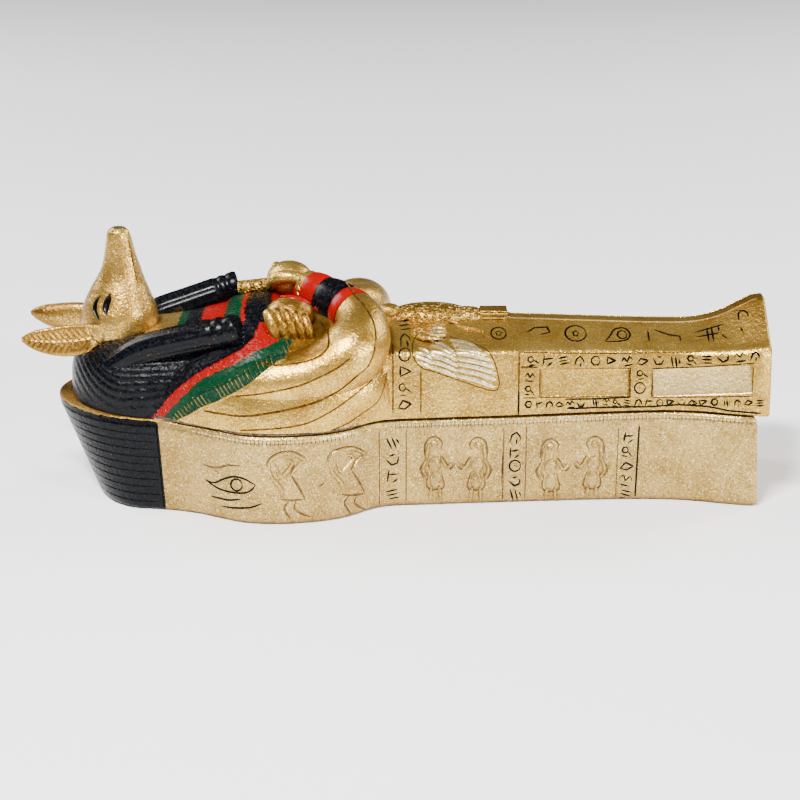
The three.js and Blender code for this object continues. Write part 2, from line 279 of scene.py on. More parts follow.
def limb_rings(points, radii, rows, sides):
    """Rings round a smooth path: centre(t) + r(t) (side cos a + up sin a), square to its direction."""
    points = np.array(points, float)
    knots = np.linspace(0, 1, len(points))
    t = np.linspace(0, 1, rows)
    centre = np.stack([through(*zip(knots, points[:, k]))(t) for k in range(3)], -1)
    along = np.gradient(centre, axis=0)
    along /= np.linalg.norm(along, axis=1, keepdims=True)
    side = np.cross([0, 0, 1.0], along)
    side /= np.linalg.norm(side, axis=1, keepdims=True)
    up = np.cross(along, side)
    radius = through(*zip(np.linspace(0, 1, len(radii)), radii))(t)
    a = np.linspace(0, 2 * np.pi, sides, endpoint=False)
    spread = side[:, None] * np.cos(a)[None, :, None] + up[:, None] * np.sin(a)[None, :, None]
    return centre[:, None] + spread * radius[:, None, None]


def ball(centre, radii, turn_z=0.0, rows=20, sides=30):
    """An ellipsoid: (rx sin p cos a, ry sin p sin a, rz cos p), turned about Z and moved to its centre."""
    p = np.linspace(0.06, np.pi - 0.06, rows)[:, None]
    a = np.linspace(0, 2 * np.pi, sides, endpoint=False)[None]
    local = np.stack([radii[0] * np.sin(p) * np.cos(a), radii[1] * np.sin(p) * np.sin(a),
                      radii[2] * np.cos(p) * np.ones_like(a)], -1)
    c, s = math.cos(turn_z), math.sin(turn_z)
    return local @ np.array([[c, s, 0], [-s, c, 0], [0, 0, 1]]) + np.array(centre, float)


print("grid helpers ready")

# %% [markdown]
# ## Finishes
# The gold is a metallic paint: fine flakes, slightly uneven, with near-white flecks as painted glints.
# Painted shade darkens it in the hollows, which an ambient occlusion node finds. The patterns are driven
# by object coordinates, so the finish travels with the casting.

# %% Node helpers
def new_material(name):
    """A node material and its shader."""
    material = bpy.data.materials.new(name)
    material.use_nodes = True
    return material, material.node_tree, material.node_tree.nodes["Principled BSDF"]


def feed(tree, socket, value):
    """Gives an input socket a value, or a link when the value is another node's output."""
    if isinstance(value, bpy.types.NodeSocket):
        tree.links.new(value, socket)
    else:
        socket.default_value = value


def add(tree, kind, settings=None, **inputs):
    """A node with its settings. Inputs go by name, or by number as i0, i1 and so on."""
    node = tree.nodes.new(kind)
    for key, value in (settings or {}).items():
        setattr(node, key, value)
    for key, value in inputs.items():
        numbered = key[0] == "i" and key[1:].isdigit()
        feed(tree, node.inputs[int(key[1:]) if numbered else key], value)
    return node


def maths(tree, operation, a, b=0.0, clamp=False):
    """The output of one arithmetic node."""
    return add(tree, "ShaderNodeMath", {"operation": operation, "use_clamp": clamp}, i0=a, i1=b).outputs[0]


def times(tree, a, b):
    """The product of two values."""
    return maths(tree, "MULTIPLY", a, b)


def larger(tree, a, b):
    """The larger of two values."""
    return maths(tree, "MAXIMUM", a, b)


def mixed(tree, factor, a, b):
    """The colour a + factor (b - a)."""
    return add(tree, "ShaderNodeMix", {"data_type": "RGBA"}, i0=factor, i6=a, i7=b).outputs[2]


def remap(tree, value, low, high, out_low=0.0, out_high=1.0, smoothly=True):
    """A value taken from one range to another, held at the ends."""
    kind = "SMOOTHSTEP" if smoothly else "LINEAR"
    node = add(tree, "ShaderNodeMapRange", {"interpolation_type": kind}, i0=value, i1=low, i2=high,
               i3=out_low, i4=out_high)
    return node.outputs[0]


def colour(hex_code):
    """Linear RGBA from a six-digit sRGB code."""
    srgb = np.array([int(hex_code[k:k + 2], 16) / 255 for k in (0, 2, 4)])
    linear = np.where(srgb <= 0.04045, srgb / 12.92, ((srgb + 0.055) / 1.055) ** 2.4)
    return (*linear.tolist(), 1.0)


def millimetres(tree):
    """Object coordinates scaled to millimetres, as a vector output."""
    place = add(tree, "ShaderNodeTexCoord").outputs["Object"]
    return add(tree, "ShaderNodeVectorMath", {"operation": "SCALE"}, i0=place, Scale=1 / MM).outputs[0]


def noise(tree, place, scale, detail=2.0, roughness=0.5):
    """The value output of a noise texture at a scale per millimetre."""
    return add(tree, "ShaderNodeTexNoise", Vector=place, Scale=scale, Detail=detail,
               Roughness=roughness).outputs[0]


def new_group(name, inputs, outputs):
    """An empty shader node group with its sockets, and its two end nodes."""
    group = bpy.data.node_groups.new(name, "ShaderNodeTree")
    for label, kind, value in inputs:
        socket = group.interface.new_socket(label, in_out="INPUT", socket_type=kind)
        if value is not None:
            socket.default_value = value
    for label, kind in outputs:
        group.interface.new_socket(label, in_out="OUTPUT", socket_type=kind)
    return group, group.nodes.new("NodeGroupInput").outputs, group.nodes.new("NodeGroupOutput").inputs


def use_group(tree, group, **inputs):
    """The outputs of a group node in a tree, with its inputs set by name."""
    node = tree.nodes.new("ShaderNodeGroup")
    node.node_tree = group
    for key, value in inputs.items():
        feed(tree, node.inputs[key], value)
    return node.outputs


def attribute(tree, name):
    """The value of a float attribute that is stored on the mesh."""
    return add(tree, "ShaderNodeAttribute", {"attribute_name": name}).outputs["Fac"]


FLOAT, RGBA, VECTOR = "NodeSocketFloat", "NodeSocketColor", "NodeSocketVector"
print("node helpers ready")

# %% [markdown]
# Two groups carry the look. "Gold paint" gives the flake colour with painted glints, its roughness and a
# fine bump, and takes a colour for painted shade in the hollows. "Hand paint" lays a flat colour over it
# with a wobbling edge, a few gold specks that show through and a brushed surface.

# %% Gold paint and hand paint
GOLD_LIGHT, GOLD_MID, GOLD_DEEP = colour("D6AC48"), colour("A87C22"), colour("6A4404")
BASE_LIGHT, BASE_MID, BASE_DEEP = colour("BE9E58"), colour("947434"), colour("6E4A0A")
INK, BLACK, RED, GREEN = colour("040302"), colour("040508"), colour("800000"), colour("002C16")
LID_METAL, BASE_METAL = 0.86, 0.72
BASE_GRAIN = 1.2
GRAIN_DEPTH = 0.14 * MM
PAINT_SPECULAR = 0.12


def gold_group():
    """Flakes from fine noise, patches from coarse noise, painted glints, and the deep colour as painted
    shade in hollows.
    """
    group, given, out = new_group(
        "Gold paint",
        [("Place", VECTOR, None), ("Light", RGBA, GOLD_LIGHT), ("Mid", RGBA, GOLD_MID),
         ("Deep", RGBA, GOLD_DEEP), ("Shelter", FLOAT, 0.0), ("Grain", FLOAT, 1.0)],
        [("Color", RGBA), ("Roughness", FLOAT), ("Height", FLOAT)])
    flake = noise(group, given["Place"], 2.6, 3.0, 0.75)
    cloud = noise(group, given["Place"], 0.16, 3.0, 0.55)
    body = mixed(group, remap(group, cloud, 0.25, 0.75, 0.2, 1.0), given["Mid"], given["Light"])
    speck = times(group, remap(group, flake, 0.50, 0.66), 0.62)
    body = mixed(group, times(group, speck, given["Grain"]), body, colour("5E430F"))
    # Painted glints: near-white flecks put into the colour.
    painted_glint = times(group, remap(group, flake, 0.45, 0.33), 0.8)
    body = mixed(group, painted_glint, body, colour("FFF0C4"))
    # Painted shade: the deep colour where ambient occlusion finds hollows, near and wide, and where it is
    # asked for.
    hollow = add(group, "ShaderNodeAmbientOcclusion", {"samples": 8}, Distance=1.6 * MM).outputs["AO"]
    hollow = remap(group, hollow, 0.35, 0.92, 1.0, 0.0)
    wide = add(group, "ShaderNodeAmbientOcclusion", {"samples": 8}, Distance=7 * MM).outputs["AO"]
    wide = remap(group, wide, 0.30, 0.85, 0.55, 0.0)
    deep = maths(group, "MAXIMUM", larger(group, hollow, wide), given["Shelter"], True)
    uneven = remap(group, noise(group, given["Place"], 0.9), 0.2, 0.7, 0.65, 1.0)
    deep = times(group, deep, uneven)
    group.links.new(mixed(group, deep, body, given["Deep"]), out["Color"])
    rough = maths(group, "ADD", remap(group, flake, 0.3, 0.7, 0.18, 0.41), times(group, deep, 0.06))
    group.links.new(rough, out["Roughness"])
    height = maths(group, "ADD", times(group, flake, 0.5), noise(group, given["Place"], 1.1, 1.0))
    group.links.new(times(group, height, given["Grain"]), out["Height"])
    return group


def paint_group():
    """A paint colour with brushed variation, and specks of gold where the paint missed."""
    group, given, out = new_group(
        "Hand paint",
        [("Place", VECTOR, None), ("Paint", RGBA, BLACK), ("Speckle", FLOAT, 1.0)],
        [("Color", RGBA), ("Bare", FLOAT), ("Roughness", FLOAT), ("Height", FLOAT)])
    streak = noise(group, given["Place"], 1.3, 3.0, 0.6)
    body = mixed(group, remap(group, streak, 0.4, 0.75, 0.0, 0.10), given["Paint"], colour("3A3C44"))
    group.links.new(body, out["Color"])
    fleck = remap(group, noise(group, given["Place"], 2.6, 2.0, 0.6), 0.70, 0.74)
    group.links.new(maths(group, "MULTIPLY", fleck, given["Speckle"], True), out["Bare"])
    group.links.new(remap(group, streak, 0.3, 0.7, 0.18, 0.34), out["Roughness"])
    group.links.new(streak, out["Height"])
    return group


GOLD = gold_group()
PAINT = paint_group()


def fine_bump(tree, gold):
    """The bump node that gives the gold its grain."""
    return add(tree, "ShaderNodeBump", Height=gold["Height"], Strength=1.0, Distance=GRAIN_DEPTH).outputs[0]


def gilt(name, painted_shade=0.0, light=GOLD_LIGHT, mid=GOLD_MID, deep=GOLD_DEEP, metal=LID_METAL, grain=1.0,
         beads=False):
    """Gold paint alone. Painted shade from 0 to 1 fills it with the deep colour, and beads adds a beaded
    bump.
    """
    material, tree, shader = new_material(name)
    place = millimetres(tree)
    painted_shade = maths(tree, "ADD", attribute(tree, "hollow"), painted_shade, True)
    gold = use_group(tree, GOLD, Place=place, Shelter=painted_shade, Light=light, Mid=mid, Deep=deep, Grain=grain)
    tree.links.new(gold["Color"], shader.inputs["Base Color"])
    tree.links.new(gold["Roughness"], shader.inputs["Roughness"])
    shader.inputs["Metallic"].default_value = metal
    bump = fine_bump(tree, gold)
    if beads:
        cells = add(tree, "ShaderNodeTexVoronoi", Vector=place, Scale=0.95).outputs["Distance"]
        round_top = remap(tree, cells, 0.05, 0.6, 1.0, 0.0)
        bump = add(tree, "ShaderNodeBump", Height=round_top, Strength=1.0, Distance=0.5 * MM,
                   Normal=bump).outputs[0]
    tree.links.new(bump, shader.inputs["Normal"])
    return material


def painted(name, paint, speckle=1.0):
    """Hand paint alone, with the gold that shows through its specks."""
    material, tree, shader = new_material(name)
    place = millimetres(tree)
    coat = use_group(tree, PAINT, Place=place, Paint=paint, Speckle=speckle)
    tree.links.new(mixed(tree, coat["Bare"], coat["Color"], GOLD_MID), shader.inputs["Base Color"])
    tree.links.new(coat["Roughness"], shader.inputs["Roughness"])
    tree.links.new(times(tree, coat["Bare"], 0.8), shader.inputs["Metallic"])
    shader.inputs["Specular IOR Level"].default_value = PAINT_SPECULAR
    bump = add(tree, "ShaderNodeBump", Height=coat["Height"], Strength=0.4, Distance=0.08 * MM)
    tree.links.new(bump.outputs[0], shader.inputs["Normal"])
    return material


def painted_over_gold(tree, shader, bare, coat, gold, metal):
    """Feeds a shader with paint where bare is 0 and gold where it is 1."""
    tree.links.new(mixed(tree, bare, coat["Color"], gold["Color"]), shader.inputs["Base Color"])
    rough = add(tree, "ShaderNodeMix", {"data_type": "FLOAT"}, i0=bare, i2=coat["Roughness"],
                i3=gold["Roughness"])
    tree.links.new(rough.outputs[0], shader.inputs["Roughness"])
    tree.links.new(times(tree, bare, metal), shader.inputs["Metallic"])
    shader.inputs["Specular IOR Level"].default_value = PAINT_SPECULAR


LID_GILT = gilt("lid gilt")
# The head and ears take a darker copy of the lid gold: painted shade on the head end.
SHADED_HEAD_GILT = gilt("shaded head gilt", light=colour("C89C40"), mid=colour("98702A"))
# Grooves in deep gold: painted shade in the carving.
GROOVE_SHADE_GILT = gilt("groove shade gilt", painted_shade=1.0, deep=colour("5E3606"))
BASE_GILT = gilt("base gilt", light=BASE_LIGHT, mid=BASE_MID, deep=BASE_DEEP, metal=BASE_METAL,
                 grain=BASE_GRAIN)
# Base grooves in deep brown gold: painted shade in the carving.
BASE_GROOVE_SHADE = gilt("base groove shade", painted_shade=0.95, mid=colour("8E6C35"), deep=colour("54340E"), metal=0.4)
INK_PAINT = painted("ink", INK, 0.35)
BLACK_PAINT = painted("black paint", BLACK, 0.8)
RED_PAINT = painted("red paint", RED, 0.5)
GREEN_PAINT = painted("green paint", GREEN, 0.5)
# A near-black deep colour for the groove round the lid's lower edge: painted shade in the joint.
JOINT_SHADE_GILT = gilt("seam", painted_shade=1.0, deep=colour("240A04"), metal=0.2)
# A pale gold as painted highlight: second panel floor, top rails and the band under the base rim.
HIGHLIGHT_GILT = gilt("painted highlight gilt", light=colour("EACB86"), mid=colour("D2AC60"), metal=0.8)
# A near-white pale gold for the wing feathers: painted highlight.
WING_HIGHLIGHT_GILT = gilt("wing painted highlight gilt", light=colour("F8E7B4"), mid=colour("EBD08C"))
# The handle takes part of the deep colour as painted shade.
HANDLE_GILT = gilt("handle gilt", painted_shade=0.6, beads=True)
NOSE_PAINT = painted("nose paint", colour("3A3836"), 0.6)
BEAD_GILT = gilt("beaded gilt", mid=colour("B98A2E"), beads=True)
print("materials", len(bpy.data.materials))

# %% [markdown]
# The robe needs the most painting. Its collar runs in rows from the wig to a thin gold cord: black, red,
# green. A vertex attribute called row counts the rows, 0 in the wig, 1 at the black and red boundary and
# so on, and another called along measures the way round the collar, for the ribs of the green row.

# %% Robe and base materials
RIB_PITCH = 1.05
BIB_BANDS = ((-50.0, BLACK), (-46.2, RED), (-40.6, GREEN), (-36.4, RED), (-35.4, BLACK), (-29.3, RED))


def robe_material():
    """Collar rows by the row attribute, the bib between the lappets by its X, beads and ribs as bump."""
    material, tree, shader = new_material("painted robe")
    place = millimetres(tree)
    row = attribute(tree, "row")
    along = attribute(tree, "along")
    x, y, _ = add(tree, "ShaderNodeSeparateXYZ", Vector=place).outputs
    wobble = remap(tree, noise(tree, place, 0.9, 2.0), 0.3, 0.7, -0.07, 0.07, False)
    row = maths(tree, "ADD", row, wobble)
    side = BLACK
    for step, paint in ((1.0, RED), (2.0, GREEN)):
        side = mixed(tree, remap(tree, row, step - 0.02, step + 0.02), side, paint)
    top_x = maths(tree, "ADD", x, times(tree, wobble, 6.0))
    top = mixed(tree, remap(tree, x, -60, -59.5), BLACK, GREEN)
    for step, paint in BIB_BANDS:
        top = mixed(tree, remap(tree, top_x, step - 0.1, step + 0.1), top, paint)
    inner = remap(tree, maths(tree, "ABSOLUTE", y), 13.4, 13.6, 1.0, 0.0)
    pigment = mixed(tree, inner, side, top)
    bare_side = remap(tree, row, 2.97, 3.03)
    throat = times(tree, remap(tree, top_x, -52.4, -52.2, 1.0, 0.0), remap(tree, x, -60, -59.5))
    beyond = remap(tree, top_x, -23.6, -23.2)
    bare_top = larger(tree, throat, beyond)
    bare = maths(tree, "ADD", times(tree, bare_side, maths(tree, "SUBTRACT", 1.0, inner)),
                 times(tree, bare_top, inner), True)
    coat = use_group(tree, PAINT, Place=place, Paint=pigment, Speckle=0.8)
    gold = use_group(tree, GOLD, Place=place, Shelter=attribute(tree, "hollow"))
    beads = add(tree, "ShaderNodeTexVoronoi", Vector=place, Scale=1.15)
    in_red = times(tree, remap(tree, row, 1.0, 1.05), remap(tree, row, 1.95, 2.0, 1.0, 0.0))
    in_green = times(tree, remap(tree, row, 2.42, 2.46), remap(tree, row, 2.93, 2.99, 1.0, 0.0))
    ribs = maths(tree, "SINE", times(tree, along, 2 * math.pi / RIB_PITCH))
    bead = remap(tree, beads.outputs["Distance"], 0.0, 0.55, 1.0, 0.0)
    relief = maths(tree, "ADD", times(tree, bead, times(tree, in_red, 0.9)),
                   times(tree, times(tree, ribs, 0.6), in_green))
    # Painted highlight: bare gold on the tops of the red beads.
    speck = times(tree, remap(tree, bead, 0.80, 0.9), in_red)
    speck = times(tree, speck, remap(tree, noise(tree, place, 0.7), 0.45, 0.55))
    ridge = times(tree, remap(tree, ribs, 0.86, 0.98, 0.0, 0.7), in_green)
    ridge = times(tree, ridge, remap(tree, noise(tree, place, 0.35), 0.42, 0.6))
    bare = larger(tree, bare, larger(tree, larger(tree, speck, ridge), coat["Bare"]))
    painted_over_gold(tree, shader, bare, coat, gold, LID_METAL)
    coarse = add(tree, "ShaderNodeBump", Height=relief, Strength=0.9, Distance=0.35 * MM,
                 Normal=fine_bump(tree, gold))
    tree.links.new(coarse.outputs[0], shader.inputs["Normal"])
    return material


ROBE_PAINT = robe_material()


def wig_base_material():
    """Gold, with black where the wig attribute, a distance in millimetres, is above zero."""
    material, tree, shader = new_material("base paint")
    place = millimetres(tree)
    wobble = remap(tree, noise(tree, place, 0.5), 0.3, 0.7, -0.2, 0.2, False)
    wig = maths(tree, "ADD", attribute(tree, "wig"), wobble)
    coat = use_group(tree, PAINT, Place=place, Paint=BLACK, Speckle=0.6)
    gold = use_group(tree, GOLD, Place=place, Shelter=attribute(tree, "hollow"), Light=BASE_LIGHT,
                     Mid=BASE_MID, Deep=BASE_DEEP, Grain=BASE_GRAIN)
    bare = larger(tree, remap(tree, wig, -0.06, 0.06, 1.0, 0.0), coat["Bare"])
    painted_over_gold(tree, shader, bare, coat, gold, BASE_METAL)
    tree.links.new(fine_bump(tree, gold), shader.inputs["Normal"])
    return material


BASE_PAINT = wig_base_material()
print("materials", len(bpy.data.materials))

# %% [markdown]
# ## Tracing on a finished surface
# All carving is drawn as paths that land on the surface, either at the nearest place or along a fixed
# direction. A path becomes a slender closed tube that follows the surface. Cut out, it is a groove.
# Joined, it is a raised line.

# %% Tracing
def resampled(points, step, curved):
    """A path through the points with even steps: straight from point to point, or a smooth curve."""
    points = np.array(points, float)
    if curved and len(points) > 2:
        knots = np.linspace(0, 1, len(points))
        t = np.linspace(0, 1, 12 * len(points))
        points = np.stack([through(*zip(knots, points[:, k]))(t) for k in range(points.shape[1])], -1)
    reach = np.r_[0, np.cumsum(np.linalg.norm(np.diff(points, axis=0), axis=1))]
    count = max(2, int(math.ceil(reach[-1] / step)) + 1)
    even = np.unique(np.r_[np.linspace(0, reach[-1], count), reach if not curved else []])
    even = even[np.r_[True, np.diff(even) > 0.08]]
    return np.stack([np.interp(even, reach, points[:, k]) for k in range(points.shape[1])], -1)


RAY_START = 120.0


class Surface:
    """A finished solid that paths can land on."""

    def __init__(self, piece):
        self.tree = BVHTree.FromObject(piece, bpy.context.evaluated_depsgraph_get())

    def land(self, path, way=None):
        """Places on the surface and unit normals: nearest to each point, or first met along a direction."""
        if way is None:
            hits = [self.tree.find_nearest(Vector(p * MM)) for p in path]
        else:
            start = -RAY_START * np.array(way, float)
            hits = [self.tree.ray_cast(Vector((p + start) * MM), Vector(way)) for p in path]
        hits = [hit for hit in hits if hit[0] is not None]
        return np.array([hit[0] for hit in hits]) / MM, np.array([hit[1] for hit in hits])


def traced(surface, points, half_width, height, material, way=None, curved=False, step=0.9, taper=0.0,
           sides=6, square=1.0):
    """A closed tube along a path on the surface, as a list of one solid.

    Its rings are superellipses: half_width times cos(a)^square across, height times sin(a)^square out of
    the surface, and taper thins both ends by the share taper (2t - 1)^2. A low square gives a box.
    """
    spot, normal = surface.land(resampled(points, step, curved), way)
    if len(spot) < 2:
        return []
    normal = normal + np.vstack([normal[:1], normal[:-1]]) + np.vstack([normal[1:], normal[-1:]])
    normal /= np.linalg.norm(normal, axis=1, keepdims=True)
    along = np.gradient(spot, axis=0)
    across = np.cross(normal, along)
    across /= np.maximum(np.linalg.norm(across, axis=1, keepdims=True), 1e-6)
    t = np.linspace(0, 1, len(spot))
    size = 1 - taper * (2 * t - 1) ** 2
    a = np.linspace(0, 2 * np.pi, sides, endpoint=False)
    wide, tall = power(np.cos(a), square)[None, :, None], power(np.sin(a), square)[None, :, None]
    rings = (spot[:, None] + across[:, None] * wide * (half_width * size)[:, None, None]
             + normal[:, None] * tall * (height * size)[:, None, None])
    length = np.maximum(np.linalg.norm(along, axis=1, keepdims=True), 1e-6)
    step_out = along / length * min(half_width, 0.5) * 0.5
    close = 0.5 if half_width < 1.7 else 0.98
    rings[0] = rings[0] * close + rings[0].mean(0) * (1 - close) - step_out[0]
    rings[-1] = rings[-1] * close + rings[-1].mean(0) * (1 - close) + step_out[-1]
    return [solid("trace", rings, material)]


print("tracing ready")

# %% [markdown]
# ## The base casting
# One closed surface: flat underneath, up the flared walls to the rim, and down the hollow inside. Each
# ring is the same outline at its own height, so the step and climb of the rim spread down the walls.

# %% Base shell
SIDE_COLUMNS, ARC_COLUMNS, FOOT_COLUMNS = 330, 90, 60


def outline(head_x, inset, foot_x):
    """Plan of the body as (x, y): near side, half ellipse round the head end, far side, straight foot."""
    x = np.linspace(foot_x, PLAN_X, SIDE_COLUMNS, endpoint=False)
    side = body_half(x) - inset
    a = np.linspace(0, np.pi, ARC_COLUMNS, endpoint=False)
    arc = np.stack([PLAN_X - (PLAN_X - head_x) * np.sin(a), -(HEAD_HALF - inset) * np.cos(a)], -1)
    foot_y = np.linspace(1, -1, FOOT_COLUMNS) * side[0]
    foot = np.stack([np.full(FOOT_COLUMNS, foot_x), foot_y], -1)[1:-1]
    return np.vstack([np.stack([x, -side], -1), arc, np.stack([x, side], -1)[::-1], foot])


def head_at(z):
    """X of the head end of the base at a height: it leans outward on the way up."""
    return FLOOR_HEAD_X + (HEAD_X - FLOOR_HEAD_X) * z / RIM_Z


def foot_at(z):
    """X of the foot end of the base at a height."""
    return FLOOR_FOOT_X + (FOOT_X - FLOOR_FOOT_X) * z / RIM_Z


def base_ring(level, drop, inset, wall=0.0, head_wall=0.0):
    """A ring at a share of the rim's height less a drop, its outline moved in by inset and the wall."""
    height = level * RIM_Z
    flat = outline(head_at(height) + inset + head_wall, inset + wall, foot_at(height) - inset - wall)
    return np.column_stack([flat, np.maximum(level * (rim(flat[:, 0]) - drop), 0)])


def base_shell():
    """Rings from the underside, round the lower edge, up the wall, over the rim and down the hollow."""
    round_edge = 1.3
    half_size, shift = [0.5, 0.5, 1], [1.5, 0, 0]
    rings = [base_ring(0, 0, round_edge) * half_size + shift, base_ring(0, 0, round_edge)]
    edge = np.linspace(0, np.pi / 2, 6)[1:]
    rings += [base_ring(0.05 * (1 - math.cos(e)), 0, round_edge - round_edge * math.sin(e)) for e in edge]
    rings += [base_ring(level, 0.5 * level, -0.05 + 0.35 * float(smooth(level, 0.93, 1.0)))
              for level in np.r_[np.linspace(0.07, 0.92, 28), np.linspace(0.935, 1, 6)]]
    rings += [base_ring(1, 0.2, 0.42), base_ring(1, 0.0, 0.7)]
    rings += [base_ring(1, 0.0, 0, WALL - 0.3, HEAD_WALL - 0.3), base_ring(1, 0.3, 0, WALL, HEAD_WALL)]
    rings += [base_ring(level, 0, 0, WALL, HEAD_WALL) for level in (0.8, 0.5, 0.28)]
    floor = base_ring(FLOOR / RIM_Z, 0, 1.6, WALL, HEAD_WALL)
    rings += [base_ring(0.20, 0, 0.5, WALL, HEAD_WALL), floor]
    return np.array(rings + [floor * half_size + shift])


base = solid("base_casting", base_shell(), BASE_PAINT)
print("base", len(base.data.polygons), "faces")

# %% [markdown]
# ## The lid casting
# The lid is modelled as the sculptor would: a robe and wig shell, a leg shell, a head, ears, lappets,
# arms, fists, a handle and a bird are pushed into one another and joined, then the inside is cut away.

# %% Robe and wig shell
crown = through((LID_HEAD_X, 31), (-78, 35), (-75, 38.3), (-70, 40.6), (-62, 41.6), (-54, 42.4),
                (-43, 45.2), (-32, 47.4), (-25, 45.8), (-12, 45.5), (-6, 44.5), (-2, 43.5), (0.8, 41))
robe_half = through((PLAN_X, 18.6), (-52, 20.4), (-46.5, 22.6), (-41, 25.4), (-35, 27.9), (-28, 28.6),
                    (-21.5, 28.2), (-14.8, 27), (-9, 25), (-5, 22.9), (-1.5, 19.5), (0.8, 16))
section_power = through((-62, 3), (-56, 2.8), (-44, 2.2), (-30, 2.15), (0, 2.3))
collar_lines = [
    through((-58, 19), (-56.3, 24), (-54.4, 29.1), (-53.1, 32), (-50.7, 35.4), (-48.4, 37.3), (-44.7, 39),
            (-40.7, 40.5), (-36.7, 41.6), (-34, 44), (-32, 60)),
    through((-61, 18), (-57.1, 24.7), (-54.5, 27.9), (-50.7, 31.8), (-47.4, 34.4), (-43.8, 36.9),
            (-40.2, 38.9), (-37.4, 40.5), (-34, 42.8), (-31.5, 46), (-29, 62)),
    through((-58, 18), (-54.4, 24.3), (-51.6, 27.8), (-47.8, 32.1), (-45.4, 34.2), (-41.3, 36.5),
            (-37.4, 38.4), (-33.5, 40.4), (-29.6, 41.8), (-25.9, 43.4), (-23.8, 50), (-22, 64)),
    through((-55, 18), (-51.4, 23.4), (-48.4, 25.3), (-44.6, 27.9), (-41.3, 29.6), (-37.2, 32.1),
            (-33.2, 34.9), (-29.3, 37.8), (-26.3, 39.7), (-24.2, 41), (-22.4, 48), (-21, 66))]


def collar_row(x, z):
    """How many collar rows lie above a point: 0 in the wig, 1 under the black row, up to 3 at the cord."""
    lines = [line(x) for line in collar_lines]
    lines[0] = np.maximum(lines[0], lines[1] + 0.3)
    total = np.clip((lines[0] - z) / (lines[0] - lines[1]), 0, 1)
    total += np.clip((lines[1] - z) / np.maximum(lines[1] - lines[2], 0.3), 0, 1)
    total += np.clip((lines[2] - z) / np.maximum(lines[2] - lines[3], 0.3), 0, 1)
    return total + np.clip((lines[3] - z) / 3, 0, 1)


def robe_shell():
    """Superellipse rings: half the plan ellipse round the head end, then along the chest to the legs."""
    b = np.linspace(0.05, np.pi / 2, 56, endpoint=False)
    x = np.r_[PLAN_X - 20.3 * np.cos(b), np.arange(PLAN_X, 0.8, 0.8), 0.8][:, None]
    half = np.r_[18.6 * np.sin(b), robe_half(x[len(b):, 0])][:, None]
    n = section_power(x)
    a = np.linspace(0, np.pi, 161)[None]
    rise = np.sin(a) ** (2 / n)
    edge = -52 + 25 * rise
    collar = 0.9 * (1 - smooth(x, edge - 1, edge + 1)) * smooth(x, edge - 13, edge - 11) * np.sin(a)
    blend = smooth(rise, 0, 0.4)
    width = np.minimum(half, body_half(x)) * (1 - blend) + half * blend + collar
    low = rim(x) + JOINT_GAP
    y = -width * power(np.cos(a), 2 / n)
    z = low + (crown(x) + collar - low) * rise
    rings = np.stack([np.broadcast_to(x, y.shape), y, z], -1)
    normals = grid_normals(rings)
    if (normals[:, 80, 2]).mean() < 0:
        normals = -normals
    girth = (np.abs(y) + 42 - z) / 37
    strand = 17 * np.hypot(np.clip((-63 - x) / 16.5, 0, None), girth)
    cut = smooth(np.abs((strand % 1) - 0.5), 0.24, 0.0)
    row = collar_row(x, z)
    wig = (1 - smooth(row, 0.02, 0.08)) * smooth(np.abs(y), 6, 9) * smooth(z - low, 0.2, 1.0)
    lift = -0.24 * cut * wig
    lift += 0.30 * (smooth(row, 0.98, 1.06) * (1 - smooth(row, 2.0, 2.1)))
    lift += 0.25 * smooth(row, 2.0, 2.1) * (1 - smooth(row, 2.9, 3.0))
    return rings + normals * lift[..., None]


robe = solid("lid_casting", robe_shell(), ROBE_PAINT)
print("robe", len(robe.data.polygons), "faces")

# %% [markdown]
# The legs are one long hull. Their section has upright sides, a small ridge, a slope and a narrow raised
# strip along the middle, and all of it sweeps up at the foot.

# %% Leg shell
ridge_height = through((0, 38.9), (27, 38.5), (50, 38.3), (72, 38), (82, 38.9), (91, 40.4))
strip_height = through((-4, 44.2), (22, 44), (46, 43.2), (64, 42.7), (74, 42.9), (80.5, 44.6), (85.5, 47.2),
                       (89, 48.9), (91, 49.1))


def leg_ring(x, inset):
    """One cross-section: corners from side to side, spaced evenly, then softened by weights 1 2 2 2 1."""
    half = float(body_half(x)) + 0.25 - inset
    low = float(rim(x)) + JOINT_GAP
    ridge = float(ridge_height(x)) - inset
    strip = float(strip_height(x)) - inset
    slope = ridge + 0.45 * (strip - ridge)
    right = np.array([(half, low + inset * 0.5), (half - 0.84, low + 0.45 * (ridge - low)),
                      (half - 2.2, ridge - 0.2), (half - 2.9, ridge + 0.35), (half - 4.0, ridge + 0.45),
                      ((half - 0.3) / 2, slope), (2.3, strip - 0.3), (2.0, strip)])
    both = np.vstack([right, (right * [-1, 1])[::-1]])
    reach = np.r_[0, np.cumsum(np.linalg.norm(np.diff(both, axis=0), axis=1))]
    even = np.linspace(0, reach[-1], 100)
    ring = np.stack([np.interp(even, reach, both[:, 0]), np.interp(even, reach, both[:, 1])], -1)
    soft = ring.copy()
    soft[2:-2] = (ring[:-4] + 2 * ring[1:-3] + 2 * ring[2:-2] + 2 * ring[3:-1] + ring[4:]) / 8
    return np.column_stack([np.full(100, x), -soft[:, 0], soft[:, 1]])


def leg_shell():
    """Leg rings every 2 mm, with the foot edge rounded over by four closer rings."""
    x = np.arange(-8, LID_FOOT_X - 1.0, 2.0)
    rings = [leg_ring(value, 0.0) for value in x]
    rings += [leg_ring(LID_FOOT_X - 1.0 + math.sin(e), 1.0 - math.cos(e)) for e in (0.4, 0.8, 1.2, 1.57)]
    return np.array(rings)


legs = solid("legs", leg_shell(), LID_GILT)
print("legs", len(legs.data.polygons), "faces")

